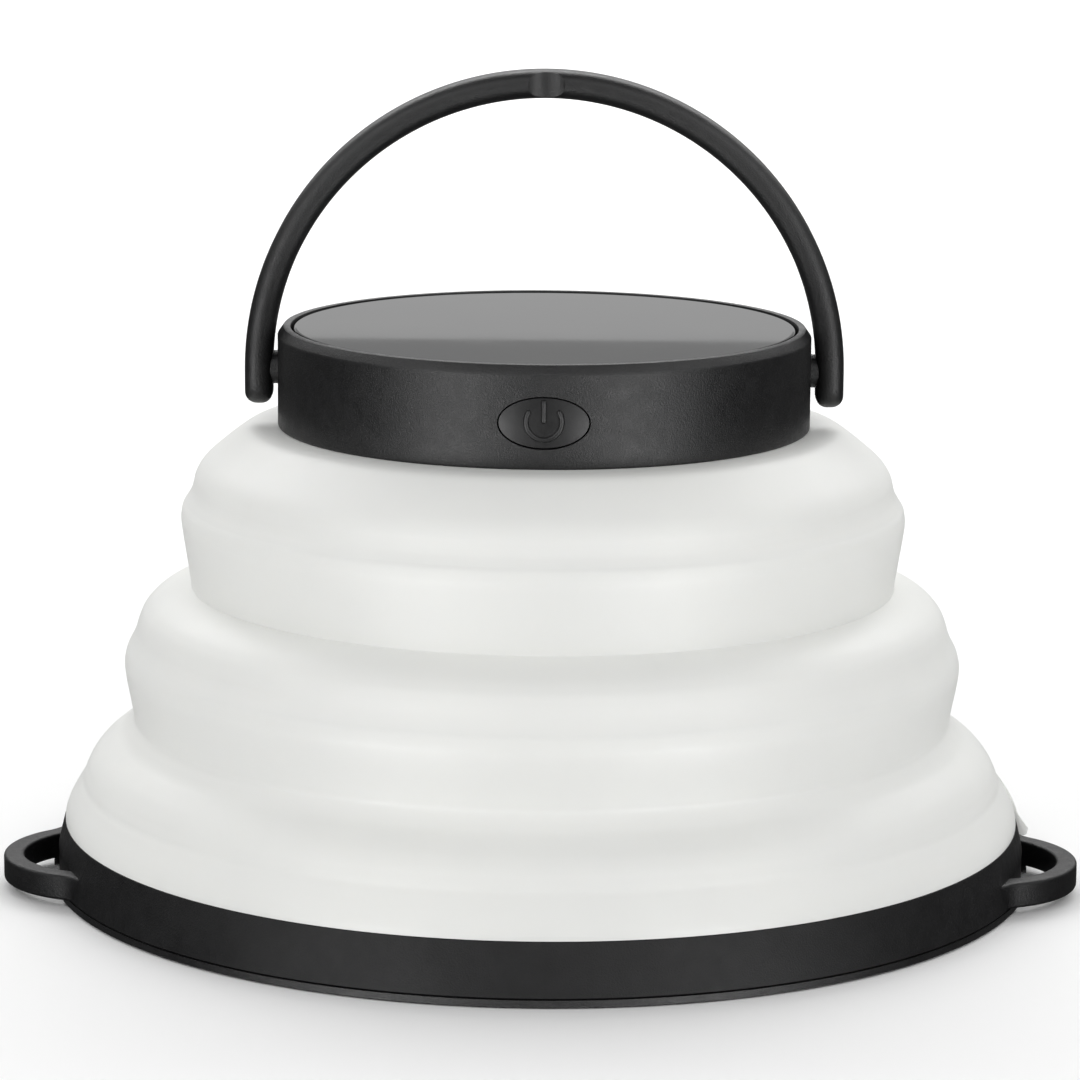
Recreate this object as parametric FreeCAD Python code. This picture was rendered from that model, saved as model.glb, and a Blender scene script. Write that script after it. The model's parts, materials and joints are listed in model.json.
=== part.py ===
"""Collapsible camping lantern: silicone bellows between a solar cap and a base ring.

Millimetres.  The origin is the centre of the underside, +Z is up, the power
button faces -Y and the handle pivots lie on the X axis.
"""
import FreeCAD, Part
import math
import os

os.makedirs("parts", exist_ok=True)

V = FreeCAD.Vector
UP = V(0, 0, 1)
DOWN = V(0, 0, -1)

# ---------------------------------------------------------------- driving sizes
# Radii step outwards from the cap to the base.
CAP_RADIUS = 41.45
TOP_STEP = 15.15            # cap wall to the widest line of the top tier
MIDDLE_STEP = 9.0           # top tier to middle tier
LOWER_STEP = 9.4            # middle tier to the top edge of the base ring

# Heights stack up from the floor.
FOOT_PROUD = 0.3
RING_TOP_Z = 9.4
LOWER_TIER_HEIGHT = 16.0
MIDDLE_TIER_HEIGHT = 21.1
TOP_TIER_HEIGHT = 24.9
CAP_HEIGHT = 15.5

# Bellows wall, measured along the radius and along the height.
SILICONE_R = 1.35
SILICONE_Z = 1.6

# Base
RING_DRAFT = 2.1            # the ring is this much wider at its foot
RING_WALL = 2.4
RING_FLANGE_WIDTH = 8.1     # top flange that the bellows is clamped to
RING_FLANGE_HEIGHT = 4.0
PLATE_EDGE = 1.0            # edge of the base plate that shows under the ring
PLATE_THICK = 2.0
PARTING_CHAMFER = 0.3
BEAD_WIDTH = 1.2
BEAD_EDGE = 0.3
BEAD_DEPTH = 2.0
LOWER_CLAMP_WIDTH = 4.3
LOWER_CLAMP_THICK = 1.6
RING_SCREW_EDGE = 2.6       # clamp screws from the flange's inner edge
RING_SCREW_FLOOR = 0.8      # material left under a clamp screw
BASE_SCREW_INSET = 5.4      # base screws from the ring's top edge
BASE_SCREW_FLOOR = 3.0
BASE_POST_RADIUS = 3.0
FOOT_RADIUS = 5.0
FOOT_THICK = 1.1
FOOT_INSET = 15.0           # foot centres from the ring's top edge
FEET = 4

# Lashing lugs, one each side, set a little forward of the X axis.
LUG_FORWARD_DEG = 10.0
LUG_RADIUS = 16.3
LUG_STRAND = 3.2
LUG_INSET = 6.5             # the lug's centre lies this far inside the ring edge
LUG_HEIGHT = 4.0
LUG_BLEND = 7.0
LUG_EDGE = 0.9

# Pull tab on the lowest tier
TAB_WIDTH = 11.0            # round the ring
TAB_LUG_GAP = 0.43          # from the end of the right lug's blend
TAB_THICK = 2.2
TAB_DROP = 5.1              # below the ring's top edge
TAB_RISE = 5.6              # above it, where the tongue leaves the tier
TAB_ROOT = 3.0
TAB_SHOULDER = 0.9
TAB_GAP = 0.12

# Cap
CAP_WALL = 2.0
CAP_ROUND = 1.2
CAP_TOP_THICK = 1.5
CAP_BASE_THICK = 2.0
PANEL_SINK = 0.2
LENS_THICK = 1.0
LENS_BEVEL = 0.5
CELL_THICK = 1.2
GASKET_THICK = 0.4
GASKET_WIDTH = 3.0
PANEL_GAP = 0.45
NECK_REACH = 4.75           # flat shoulder of the bellows outside the cap wall
NECK_FALL = 0.5
NECK_INNER = 8.4            # the clamped flange reaches this far inside the cap wall
NECK_CLAMP_THICK = 1.6
POST_RADIUS = 3.0
POST_INSET = 5.9            # post centres inside the cap wall
POSTS = 4
CAP_SCREW_BITE = 6.0        # thread in the cap posts

# Handle
PIVOT_HEIGHT = 8.65         # pivot axis above the cap's bottom edge
HANDLE_GAP = 0.8
HANDLE_THICK = 4.3
HANDLE_WIDTH = 7.0
HANDLE_CORNER = 1.95
HANDLE_LEG = 5.7
STUB_RADIUS = 2.6
STUB_DEPTH = 3.5
SOCKET_WALL = 1.8
SCOOP_WIDTH = 5.6
SCOOP_DEPTH = 1.0

# Power button
BUTTON_WIDTH = 13.3
BUTTON_HEIGHT = 7.4
BUTTON_Z = 6.95             # button centre above the cap's bottom edge
BUTTON_SINK = 0.15
BUTTON_GAP = 0.25
BUTTON_TRAVEL = 0.8
BUTTON_FLANGE = 1.9
BUTTON_FLANGE_THICK = 2.1   # at the centre of the curved flange
PLUNGER_RADIUS = 1.5
PLUNGER_LENGTH = 1.5
STOP_GAP = 0.1              # spare travel before the switch stem is reached

# Electronics
SWITCH_SIZE = 6.0
SWITCH_DEPTH = 3.0
STEM_RADIUS = 1.7
STEM_LENGTH = 0.5
BOARD_THICK = 1.2
SWITCH_BOARD_WIDTH = 18.0
SWITCH_BOARD_SPARE = 0.6
MAIN_BOARD_WIDTH = 34.0
MAIN_BOARD_FRONT = 16.5
MAIN_BOARD_EDGE_GAP = 0.6
PILLAR_RADIUS = 2.4
BOARD_SCREW_LENGTH = 4.0
PANEL_LEAD_SET = 9.5        # behind the main board's front edge
LED_LEAD_SET = 3.5
USB_WIDTH = 9.0
USB_HEIGHT = 3.2
USB_DEPTH = 7.4
USB_LIFT = 0.3              # socket shell above the cap base
USB_WALL = 0.4
USB_MOUTH_GAP = 0.3
USB_SINK = 1.2              # socket mouth inside the cap's outer surface
USB_BACK = 1.2
USB_TONGUE = (6.0, 0.7, 1.0)    # width, thickness, set back from the mouth
FLAP_LAP_X = 2.5            # flap beyond the socket's opening, sideways
FLAP_LAP_Z = 0.45           # and above and below it
FLAP_THICK = 0.8
FLAP_GAP = 0.35
FLAP_SINK = 0.05
PLUG_DEPTH = 0.6
PLUG_CLEAR = 0.5
FLAP_FLOOR_GAP = 0.1
BATTERY_LENGTH = 50.0
BATTERY_WIDTH = 30.0
BATTERY_THICK = 6.6
BATTERY_BACK = 13.0
BATTERY_ROUND = 2.0
PAD_THICK = 1.0
PAD_MARGIN = 3.0
LEAD_RADIUS = 0.5
LEAD_PITCH = 2.4
LEAD_HOLE_GAP = 0.25
BATTERY_PLUG = (6.0, 4.0, 3.2)
BATTERY_PLUG_X = -8.0
BATTERY_PLUG_SET = 1.0
LED_BOARD_THICK = 1.6
LED_SIZE = 3.0
LED_HEIGHT = 0.8
LED_INSET = 11.45           # LED centres inside the board edge
LEDS = 12
LED_SCREWS = 3
LED_SCREW_INSET = 3.0
LED_SCREW_LENGTH = 3.0
DIFFUSER_WALL = 1.5
DIFFUSER_DEPTH = 11.0
DIFFUSER_ROUND = 7.0
DIFFUSER_GAP = 0.6
LED_BOARD_GAP = 0.5

# Screws: head radius, head height, shank radius
CAP_SCREW = (2.3, 1.5, 1.1)
RING_SCREW = (1.4, 1.0, 0.8)
BASE_SCREW = (2.1, 0.7, 1.1)
BOARD_SCREW = (1.6, 1.0, 0.8)
RING_SCREWS = 6
BASE_SCREWS = 4
HOLE_CLEAR = 0.05
SLOT_SHARE = 0.5            # cross recess depth as a share of the head height

FIT = 0.2                   # clearance between rigid moulded pieces
RUN_FIT = 0.07              # radial clearance of a turning stub in its socket

# ------------------------------------------------------------- worked-out places
TOP_RADIUS = CAP_RADIUS + TOP_STEP
MIDDLE_RADIUS = TOP_RADIUS + MIDDLE_STEP
RING_RADIUS = MIDDLE_RADIUS + LOWER_STEP
FOOT_EDGE_RADIUS = RING_RADIUS + RING_DRAFT
FOOT_CIRCLE = RING_RADIUS - FOOT_INSET
PLATE_Z = FOOT_PROUD
RING_Z = PLATE_Z + PLATE_EDGE
PLATE_TOP_Z = PLATE_Z + PLATE_THICK
LOWER_CREASE_Z = RING_TOP_Z + LOWER_TIER_HEIGHT
MIDDLE_CREASE_Z = LOWER_CREASE_Z + MIDDLE_TIER_HEIGHT
CAP_Z = MIDDLE_CREASE_Z + TOP_TIER_HEIGHT
CAP_TOP_Z = CAP_Z + CAP_HEIGHT
CAP_INNER = CAP_RADIUS - CAP_WALL
CAP_FLOOR_Z = CAP_Z + CAP_BASE_THICK
SEAT_Z = CAP_TOP_Z - PANEL_SINK - LENS_THICK - CELL_THICK - GASKET_THICK
CAP_CEILING_Z = SEAT_Z - CAP_TOP_THICK
PIVOT_Z = CAP_Z + PIVOT_HEIGHT
HANDLE_INNER = CAP_RADIUS + HANDLE_GAP
HANDLE_OUTER = HANDLE_INNER + HANDLE_THICK
POST_CIRCLE = CAP_RADIUS - POST_INSET
NECK_BOTTOM_Z = CAP_Z - SILICONE_Z
BUTTON_CENTRE_Z = CAP_Z + BUTTON_Z


# ------------------------------------------------------------------ shape helpers
def ring(outer, inner, z_low, z_high):
    """Flat ring, or a disc when the inner radius is zero."""
    solid = Part.makeCylinder(outer, z_high - z_low, V(0, 0, z_low))
    if inner > 0:
        solid = solid.cut(Part.makeCylinder(inner, z_high - z_low, V(0, 0, z_low)))
    return solid


def block(x_size, y_low, y_high, z_low, z_high):
    """Box centred on the YZ plane."""
    return Part.makeBox(x_size, y_high - y_low, z_high - z_low, V(-x_size / 2, y_low, z_low))


def revolved(points):
    """Solid of revolution about Z from (radius, z) corners."""
    corners = [V(r, 0, z) for r, z in points]
    face = Part.Face(Part.makePolygon(corners + corners[:1]))
    return face.revolve(V(0, 0, 0), UP, 360)


def polar(radius, degrees, z=0.0):
    """Point at a radius and angle about Z."""
    angle = math.radians(degrees)
    return V(radius * math.cos(angle), radius * math.sin(angle), z)


def around(count, radius, start_deg):
    """Evenly spaced points on a circle about Z."""
    return [polar(radius, start_deg + 360.0 * i / count) for i in range(count)]


def rod(start, end, radius):
    """Cylinder between two points."""
    return Part.makeCylinder(radius, (end - start).Length, start, end - start)


def oval_prism(width, height, centre_z, y_low, y_high):
    """Stadium outline in XZ, run along Y."""
    half = height / 2
    offset = (width - height) / 2
    solid = block(2 * offset, y_low, y_high, centre_z - half, centre_z + half)
    for x in (-offset, offset):
        solid = solid.fuse(rod(V(x, y_low, centre_z), V(x, y_high, centre_z), half))
    return solid.removeSplitter()


def ellipse_prism(width, height, centre_z, y_low, y_high):
    """Elliptical outline in XZ, run along Y."""
    face = Part.Face(Part.Wire(Part.Ellipse(V(0, 0, 0), width / 2, height / 2).toShape()))
    face.rotate(V(0, 0, 0), V(1, 0, 0), 90)
    face.translate(V(0, y_low, centre_z))
    return face.extrude(V(0, y_high - y_low, 0))


def screw(head_under, direction, sizes, length):
    """Pan-head screw whose head's underside is at a point and whose shank runs along direction."""
    head_radius, head_height, shank_radius = sizes
    top = head_under - direction * head_height
    solid = rod(top, head_under, head_radius).fuse(
        rod(head_under, head_under + direction * length, shank_radius))
    slot = head_height * SLOT_SHARE
    low = min(top.z, (top + direction * slot).z)
    arm = head_radius * 1.1
    blade = head_radius * 0.28
    for x_size, y_size in ((arm, blade), (blade, arm)):
        corner = V(top.x - x_size / 2, top.y - y_size / 2, low)
        solid = solid.cut(Part.makeBox(x_size, y_size, slot, corner))
    return solid


def pilot(head_under, direction, sizes, length):
    """Hole for a screw's shank, a little longer than the shank."""
    return rod(head_under, head_under + direction * (length + FIT), sizes[2] + HOLE_CLEAR)


def cut_all(solid, tools):
    """Cut a list of tools out of a solid."""
    for tool in tools:
        solid = solid.cut(tool)
    return solid


def fuse_all(solids):
    """Fuse a list of solids into one."""
    return solids[0].multiFuse(solids[1:]).removeSplitter()


def wall_radius(z):
    """Outer radius of the drafted base ring at a height."""
    return RING_RADIUS + RING_DRAFT * (RING_TOP_Z - z) / (RING_TOP_Z - RING_Z)


def save(name, shape):
    """Write one named piece."""
    shape.exportStep("parts/" + name + ".step")


# ----------------------------------------------------------------------- bellows
# Each tier has its widest radius, the height it starts at and its height.  The rest
# are offsets from that radius and start: the shoulder arc's three points, the end of
# the step under the shoulder, a point on the side wall, the radius of the crease
# below, and the height where the fold ends and the stiff wall begins.  The offsets
# are drawn for a tier of the drawn height, and stretch with the tier's own height.
TIERS = (
    {"radius": TOP_RADIUS, "top": CAP_Z, "height": TOP_TIER_HEIGHT, "drawn": 24.9,
     "shoulder": ((-3.6, -5.9), (-2.2, -7.7), (-1.8, -10.2)),
     "step": (-0.15, -13.0), "side": (-0.1, -17.5), "crease": -1.5, "stiff": -7.4},
    {"radius": MIDDLE_RADIUS, "top": MIDDLE_CREASE_Z, "height": MIDDLE_TIER_HEIGHT, "drawn": 21.1,
     "shoulder": ((-8.3, -0.6), (-4.0, -3.35), (-1.8, -7.4)),
     "step": (-0.2, -10.9), "side": (-0.1, -15.0), "crease": -1.4, "stiff": -5.5},
    {"radius": RING_RADIUS, "top": LOWER_CREASE_Z, "height": LOWER_TIER_HEIGHT, "drawn": 16.0,
     "shoulder": ((-8.7, -2.1), (-4.8, -5.8), (-3.1, -9.0)),
     "step": (-0.6, -13.8), "side": (-0.15, -15.0), "crease": 0.0, "stiff": -7.9},
)


def tier_z(tier, offset):
    """Height of a tier's drawn offset below its start."""
    return tier["top"] + offset * tier["height"] / tier["drawn"]


def bellows_outline(shift_r, shift_z):
    """Edges of the bellows' outer line from the neck down, shifted for the inner line."""
    def at(radius, z):
        return V(radius + shift_r, 0, z + shift_z)

    here = at(CAP_RADIUS, CAP_Z)
    edges = []
    neck_end = at(CAP_RADIUS + NECK_REACH, CAP_Z - NECK_FALL)
    edges.append(Part.makeLine(here, neck_end))
    here = neck_end
    for tier in TIERS:
        start, middle, end = [at(tier["radius"] + r, tier_z(tier, z)) for r, z in tier["shoulder"]]
        step = at(tier["radius"] + tier["step"][0], tier_z(tier, tier["step"][1]))
        side = at(tier["radius"] + tier["side"][0], tier_z(tier, tier["side"][1]))
        crease = at(tier["radius"] + tier["crease"], tier["top"] - tier["height"])
        edges.append(Part.makeLine(here, start))
        edges.append(Part.Arc(start, middle, end).toShape())
        edges.append(Part.makeLine(end, step))
        edges.append(Part.Arc(step, side, crease).toShape())
        here = crease
    return edges, here


def filled_outline(shift_r, shift_z):
    """Solid inside a shifted bellows outline, open to the axis and closed above and below."""
    edges, foot = bellows_outline(shift_r, shift_z)
    head = V(CAP_RADIUS + shift_r, 0, CAP_Z + shift_z)
    below = V(foot.x, 0, foot.z - 5)
    closing = Part.makePolygon([foot, below, V(0, 0, below.z), V(0, 0, head.z), head])
    wire = Part.Wire(edges + closing.Edges)
    return Part.Face(wire).revolve(V(0, 0, 0), UP, 360)


def bellows_shell():
    """Whole bellows wall with its neck flange, before it is divided by height."""
    wall = filled_outline(0, 0).cut(filled_outline(-SILICONE_R, -SILICONE_Z))
    inner = CAP_RADIUS - NECK_INNER
    return fuse_all([wall, ring(CAP_RADIUS, inner, NECK_BOTTOM_Z, CAP_Z)]).cut(ring(inner, 0, 0, CAP_Z))


def between(solid, z_low, z_high):
    """Part of a solid between two heights."""
    return solid.common(ring(FOOT_EDGE_RADIUS * 1.5, 0, z_low, z_high))


def lower_tier_foot():
    """Clamped flange and locating bead at the bottom of the bellows."""
    inner = RING_RADIUS - RING_FLANGE_WIDTH
    foot = ring(RING_RADIUS - SILICONE_R, inner, RING_TOP_Z, RING_TOP_Z + SILICONE_Z)
    bead_outer = inner + BEAD_EDGE + BEAD_WIDTH
    bead = ring(bead_outer, inner + BEAD_EDGE, RING_TOP_Z - BEAD_DEPTH + FIT, RING_TOP_Z)
    return [foot, bead]


def pull_tab():
    """Tongue moulded on the lowest tier, lapping over the edge of the base ring."""
    tip_z = RING_TOP_Z - TAB_DROP
    tip_inner = wall_radius(tip_z) + TAB_GAP
    profile = [(RING_RADIUS - TAB_ROOT, RING_TOP_Z + TAB_RISE), (RING_RADIUS + TAB_SHOULDER, RING_TOP_Z),
               (tip_inner + TAB_THICK, tip_z), (tip_inner, tip_z),
               (RING_RADIUS + TAB_GAP, RING_TOP_Z + TAB_GAP), (RING_RADIUS - TAB_ROOT, RING_TOP_Z + TAB_GAP)]
    corners = [V(r, 0, z) for r, z in profile]
    span = math.degrees(TAB_WIDTH / RING_RADIUS)
    tongue = Part.Face(Part.makePolygon(corners + corners[:1])).revolve(V(0, 0, 0), UP, span)
    along, across = lug_blend_centre()
    lug_end = math.degrees(math.atan2(across, along)) - LUG_FORWARD_DEG
    tongue.rotate(V(0, 0, 0), UP, lug_end + math.degrees(TAB_LUG_GAP / RING_RADIUS))
    return tongue


def make_bellows():
    """Bellows moulding, divided into the parts that stay stiff and the folds between."""
    shell = bellows_shell()
    top_z, middle_z, lower_z = [tier_z(tier, tier["stiff"]) for tier in TIERS]
    save("bellows_neck", between(shell, NECK_BOTTOM_Z, CAP_Z).cut(cap_screw_holes()))
    save("bellows_upper_fold", between(shell, top_z, NECK_BOTTOM_Z))
    save("bellows_top_tier", between(shell, MIDDLE_CREASE_Z, top_z))
    save("bellows_middle_fold", between(shell, middle_z, MIDDLE_CREASE_Z))
    save("bellows_middle_tier", between(shell, LOWER_CREASE_Z, middle_z))
    save("bellows_lower_fold", between(shell, lower_z, LOWER_CREASE_Z))
    lower = between(shell, RING_TOP_Z, lower_z)
    lower = fuse_all([lower] + lower_tier_foot() + [pull_tab()])
    save("bellows_lower_tier", cut_all(lower, ring_screw_holes()))


# -------------------------------------------------------------------------- base
RING_SCREW_CIRCLE = RING_RADIUS - RING_FLANGE_WIDTH + RING_SCREW_EDGE
RING_SCREW_TOP = RING_TOP_Z + SILICONE_Z + LOWER_CLAMP_THICK
RING_SCREW_LENGTH = LOWER_CLAMP_THICK + SILICONE_Z + RING_FLANGE_HEIGHT - RING_SCREW_FLOOR
BASE_SCREW_CIRCLE = RING_RADIUS - BASE_SCREW_INSET
BASE_SCREW_LENGTH = RING_TOP_Z - RING_Z - BASE_SCREW_FLOOR


def ring_screw_points():
    """Under-head points of the screws through the lower clamp ring."""
    return [p + V(0, 0, RING_SCREW_TOP) for p in around(RING_SCREWS, RING_SCREW_CIRCLE, 30)]


def ring_screw_holes():
    """Holes for the lower clamp screws."""
    return [pilot(p, DOWN, RING_SCREW, RING_SCREW_LENGTH) for p in ring_screw_points()]


def base_screw_points():
    """Under-head points of the screws through the base plate."""
    return [p + V(0, 0, RING_Z) for p in around(BASE_SCREWS, BASE_SCREW_CIRCLE, 45)]


def lug_blend_centre():
    """Centre of the circle that touches both the lug's circle and the ring's, for a lug on +X."""
    centre_x = RING_RADIUS - LUG_INSET
    reach = LUG_RADIUS + LUG_BLEND
    spread = wall_radius(RING_Z + LUG_HEIGHT / 2) + LUG_BLEND
    along = (spread ** 2 - reach ** 2 + centre_x ** 2) / (2 * centre_x)
    return along, math.sqrt(spread ** 2 - along ** 2)


def lug(side):
    """Loop lug, blended into the ring wall, and the eye cut through it and the base plate."""
    centre = V(RING_RADIUS - LUG_INSET, 0, RING_Z)
    along, across = lug_blend_centre()
    rise = UP * LUG_HEIGHT
    origin = V(0, 0, RING_Z)
    solid = Part.makeCylinder(LUG_RADIUS, LUG_HEIGHT, centre)
    blends = [V(along, sign * across, RING_Z) for sign in (1, -1)]
    for blend in blends:
        wedge = Part.Face(Part.makePolygon([origin, centre, blend, origin])).extrude(rise)
        solid = solid.fuse(wedge)
    for blend in blends:
        solid = solid.cut(Part.makeCylinder(LUG_BLEND, LUG_HEIGHT, blend))
    solid = solid.cut(ring(RING_RADIUS - RING_WALL / 2, 0, RING_Z, RING_Z + LUG_HEIGHT))
    lug_top = RING_Z + LUG_HEIGHT
    eye = Part.makeCylinder(LUG_RADIUS - LUG_STRAND, lug_top, V(centre.x, 0, 0))
    eye = eye.cut(ring(wall_radius(lug_top), 0, 0, lug_top))
    solid = solid.removeSplitter()
    rounded = [edge for edge in solid.Edges if lug_edge(edge)]
    solid = solid.makeFillet(LUG_EDGE, rounded).cut(eye)
    turn = -LUG_FORWARD_DEG if side > 0 else 180 + LUG_FORWARD_DEG
    solid.rotate(V(0, 0, 0), UP, turn)
    return solid, eye.rotated(V(0, 0, 0), UP, turn)


def lug_edge(edge):
    """True for the lug's outer edges, on its top and bottom faces."""
    flat = abs(edge.BoundBox.ZMax - edge.BoundBox.ZMin) < 0.01
    middle = edge.valueAt((edge.FirstParameter + edge.LastParameter) / 2)
    return flat and math.hypot(middle.x, middle.y) > FOOT_EDGE_RADIUS


def make_base_ring():
    """Outer ring with the clamp flange, screw posts and lashing lugs."""
    inner = RING_RADIUS - RING_WALL
    flange_inner = RING_RADIUS - RING_FLANGE_WIDTH
    flange_z = RING_TOP_Z - RING_FLANGE_HEIGHT
    profile = [(inner, RING_Z), (FOOT_EDGE_RADIUS - PARTING_CHAMFER, RING_Z),
               (wall_radius(RING_Z + PARTING_CHAMFER), RING_Z + PARTING_CHAMFER), (RING_RADIUS, RING_TOP_Z),
               (flange_inner, RING_TOP_Z), (flange_inner, flange_z), (inner, flange_z)]
    body = revolved(profile)
    posts = [Part.makeCylinder(BASE_POST_RADIUS, flange_z - PLATE_TOP_Z, V(p.x, p.y, PLATE_TOP_Z))
             for p in base_screw_points()]
    posts = [post.common(ring(RING_RADIUS - RING_WALL / 2, 0, 0, RING_TOP_Z)) for post in posts]
    lugs = [lug(side) for side in (1, -1)]
    body = fuse_all([body] + posts + [solid for solid, _ in lugs])
    bead_inner = flange_inner + BEAD_EDGE - HOLE_CLEAR
    bead_outer = flange_inner + BEAD_EDGE + BEAD_WIDTH + HOLE_CLEAR
    groove = ring(bead_outer, bead_inner, RING_TOP_Z - BEAD_DEPTH, RING_TOP_Z)
    base_holes = [pilot(p, UP, BASE_SCREW, BASE_SCREW_LENGTH) for p in base_screw_points()]
    tools = [groove] + ring_screw_holes() + base_holes + [eye for _, eye in lugs]
    save("base_ring", cut_all(body, tools))


def make_base_plate():
    """Bottom plate with sunk feet pads and countersunk screw holes."""
    plate = ring(FOOT_EDGE_RADIUS, 0, PLATE_Z, RING_Z)
    spigot = ring(RING_RADIUS - RING_WALL - FIT, 0, RING_Z, PLATE_TOP_Z)
    body = fuse_all([plate, spigot])
    sink_z = FOOT_THICK
    tools = [lug(side)[1] for side in (1, -1)]
    tools += [Part.makeCylinder(FOOT_RADIUS + HOLE_CLEAR, sink_z - PLATE_Z, V(p.x, p.y, PLATE_Z))
             for p in around(FEET, FOOT_CIRCLE, 45)]
    for p in base_screw_points():
        head = V(p.x, p.y, PLATE_Z)
        tools.append(Part.makeCylinder(BASE_SCREW[0] + FIT, RING_Z - PLATE_Z, head))
        tools.append(pilot(p, UP, BASE_SCREW, BASE_SCREW_LENGTH))
    save("base_plate", cut_all(body, tools))
    feet = [Part.makeCylinder(FOOT_RADIUS, FOOT_THICK, p) for p in around(FEET, FOOT_CIRCLE, 45)]
    save("rubber_feet", Part.makeCompound(feet))
    screws = [screw(p, UP, BASE_SCREW, BASE_SCREW_LENGTH) for p in base_screw_points()]
    save("base_screws", Part.makeCompound(screws))


def make_lower_clamp():
    """Ring and screws that hold the bellows' foot to the base ring."""
    inner = RING_RADIUS - RING_FLANGE_WIDTH + FIT
    low = RING_TOP_Z + SILICONE_Z
    clamp = ring(inner + LOWER_CLAMP_WIDTH - FIT, inner, low, low + LOWER_CLAMP_THICK)
    save("lower_clamp_ring", cut_all(clamp, ring_screw_holes()))
    screws = [screw(p, DOWN, RING_SCREW, RING_SCREW_LENGTH) for p in ring_screw_points()]
    save("lower_clamp_screws", Part.makeCompound(screws))


# --------------------------------------------------------------------------- cap
CAP_SCREW_HEAD_Z = NECK_BOTTOM_Z - NECK_CLAMP_THICK
CAP_SCREW_LENGTH = CAP_FLOOR_Z - CAP_SCREW_HEAD_Z + CAP_SCREW_BITE


def cap_screw_points():
    """Under-head points of the screws that close the cap from below."""
    return [p + V(0, 0, CAP_SCREW_HEAD_Z) for p in around(POSTS, POST_CIRCLE, 45)]


def cap_screw_holes():
    """Holes for the cap screws, as one cutting tool."""
    return Part.makeCompound([pilot(p, UP, CAP_SCREW, CAP_SCREW_LENGTH) for p in cap_screw_points()])


def socket_depth_x():
    """Where the handle's blind sockets end."""
    return HANDLE_INNER - STUB_DEPTH - FIT


def make_cap_housing():
    """Drum-shaped housing, closed above, with posts and handle sockets inside."""
    drum = Part.makeCylinder(CAP_RADIUS, CAP_HEIGHT, V(0, 0, CAP_Z))
    rim = [edge for edge in drum.Edges
           if edge.BoundBox.ZMin > CAP_TOP_Z - 0.01]
    drum = drum.makeFillet(CAP_ROUND, rim)
    drum = drum.cut(ring(CAP_INNER, 0, CAP_Z, CAP_CEILING_Z))
    additions = [Part.makeCylinder(POST_RADIUS, CAP_CEILING_Z - CAP_FLOOR_Z, V(p.x, p.y, CAP_FLOOR_Z))
                 for p in cap_screw_points()]
    boss_end = socket_depth_x() - SOCKET_WALL
    for side in (1, -1):
        boss = rod(V(side * boss_end, 0, PIVOT_Z), V(side * (CAP_RADIUS - 1), 0, PIVOT_Z),
                   STUB_RADIUS + SOCKET_WALL)
        additions.append(boss.common(ring(CAP_RADIUS - 1, 0, CAP_Z, SEAT_Z)))
    body = fuse_all([drum] + additions)
    tools = [ring(CAP_INNER, 0, SEAT_Z, CAP_TOP_Z), cap_screw_holes()]
    for side in (1, -1):
        tools.append(rod(V(side * socket_depth_x(), 0, PIVOT_Z), V(side * (CAP_RADIUS + 1), 0, PIVOT_Z),
                         STUB_RADIUS + RUN_FIT))
    tools.append(ellipse_prism(BUTTON_WIDTH + 2 * BUTTON_GAP, BUTTON_HEIGHT + 2 * BUTTON_GAP,
                               BUTTON_CENTRE_Z, -CAP_RADIUS - 1, -CAP_INNER + 3))
    tools.append(usb_mouth())
    tools.append(flap_recess())
    tools.append(Part.makeCompound(lead_rods(PANEL_LEAD_Y, CAP_CEILING_Z, SEAT_Z, LEAD_HOLE_GAP)))
    save("cap_housing", cut_all(body, tools))


def make_cap_base():
    """Disc that closes the cap and carries the boards."""
    disc = ring(CAP_INNER - FIT, 0, CAP_Z, CAP_FLOOR_Z)
    pillars = [Part.makeCylinder(PILLAR_RADIUS, MAIN_BOARD_Z - CAP_FLOOR_Z, V(p.x, p.y, CAP_FLOOR_Z))
               for p in board_screw_points()]
    body = fuse_all([disc] + pillars)
    tools = [cap_screw_holes()]
    tools += [pilot(p, DOWN, BOARD_SCREW, BOARD_SCREW_LENGTH) for p in board_screw_points()]
    tools += [pilot(p, UP, BOARD_SCREW, LED_SCREW_LENGTH) for p in led_screw_points()]
    tools.append(Part.makeCompound(lead_rods(LED_LEAD_Y, CAP_Z, CAP_FLOOR_Z, LEAD_HOLE_GAP)))
    save("cap_base", cut_all(body, tools))


def make_neck_clamp():
    """Ring and screws that hold the bellows' neck to the cap."""
    inner = CAP_RADIUS - NECK_INNER
    clamp = ring(CAP_RADIUS - SILICONE_R, inner, CAP_SCREW_HEAD_Z, NECK_BOTTOM_Z)
    save("neck_clamp_ring", clamp.cut(cap_screw_holes()))
    screws = [screw(p, UP, CAP_SCREW, CAP_SCREW_LENGTH) for p in cap_screw_points()]
    save("cap_screws", Part.makeCompound(screws))


def make_panel():
    """Gasket, cell board and cover lens, stacked in the cap's seat."""
    outer = CAP_INNER - PANEL_GAP
    gasket_top = SEAT_Z + GASKET_THICK
    cell_top = gasket_top + CELL_THICK
    save("panel_gasket", ring(outer, outer - GASKET_WIDTH, SEAT_Z, gasket_top))
    save("cell_board", ring(outer, 0, gasket_top, cell_top))
    lens = [(0, cell_top), (outer, cell_top), (outer, cell_top + LENS_THICK - LENS_BEVEL),
            (outer - LENS_BEVEL, cell_top + LENS_THICK), (0, cell_top + LENS_THICK)]
    save("panel_lens", revolved(lens))


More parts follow.
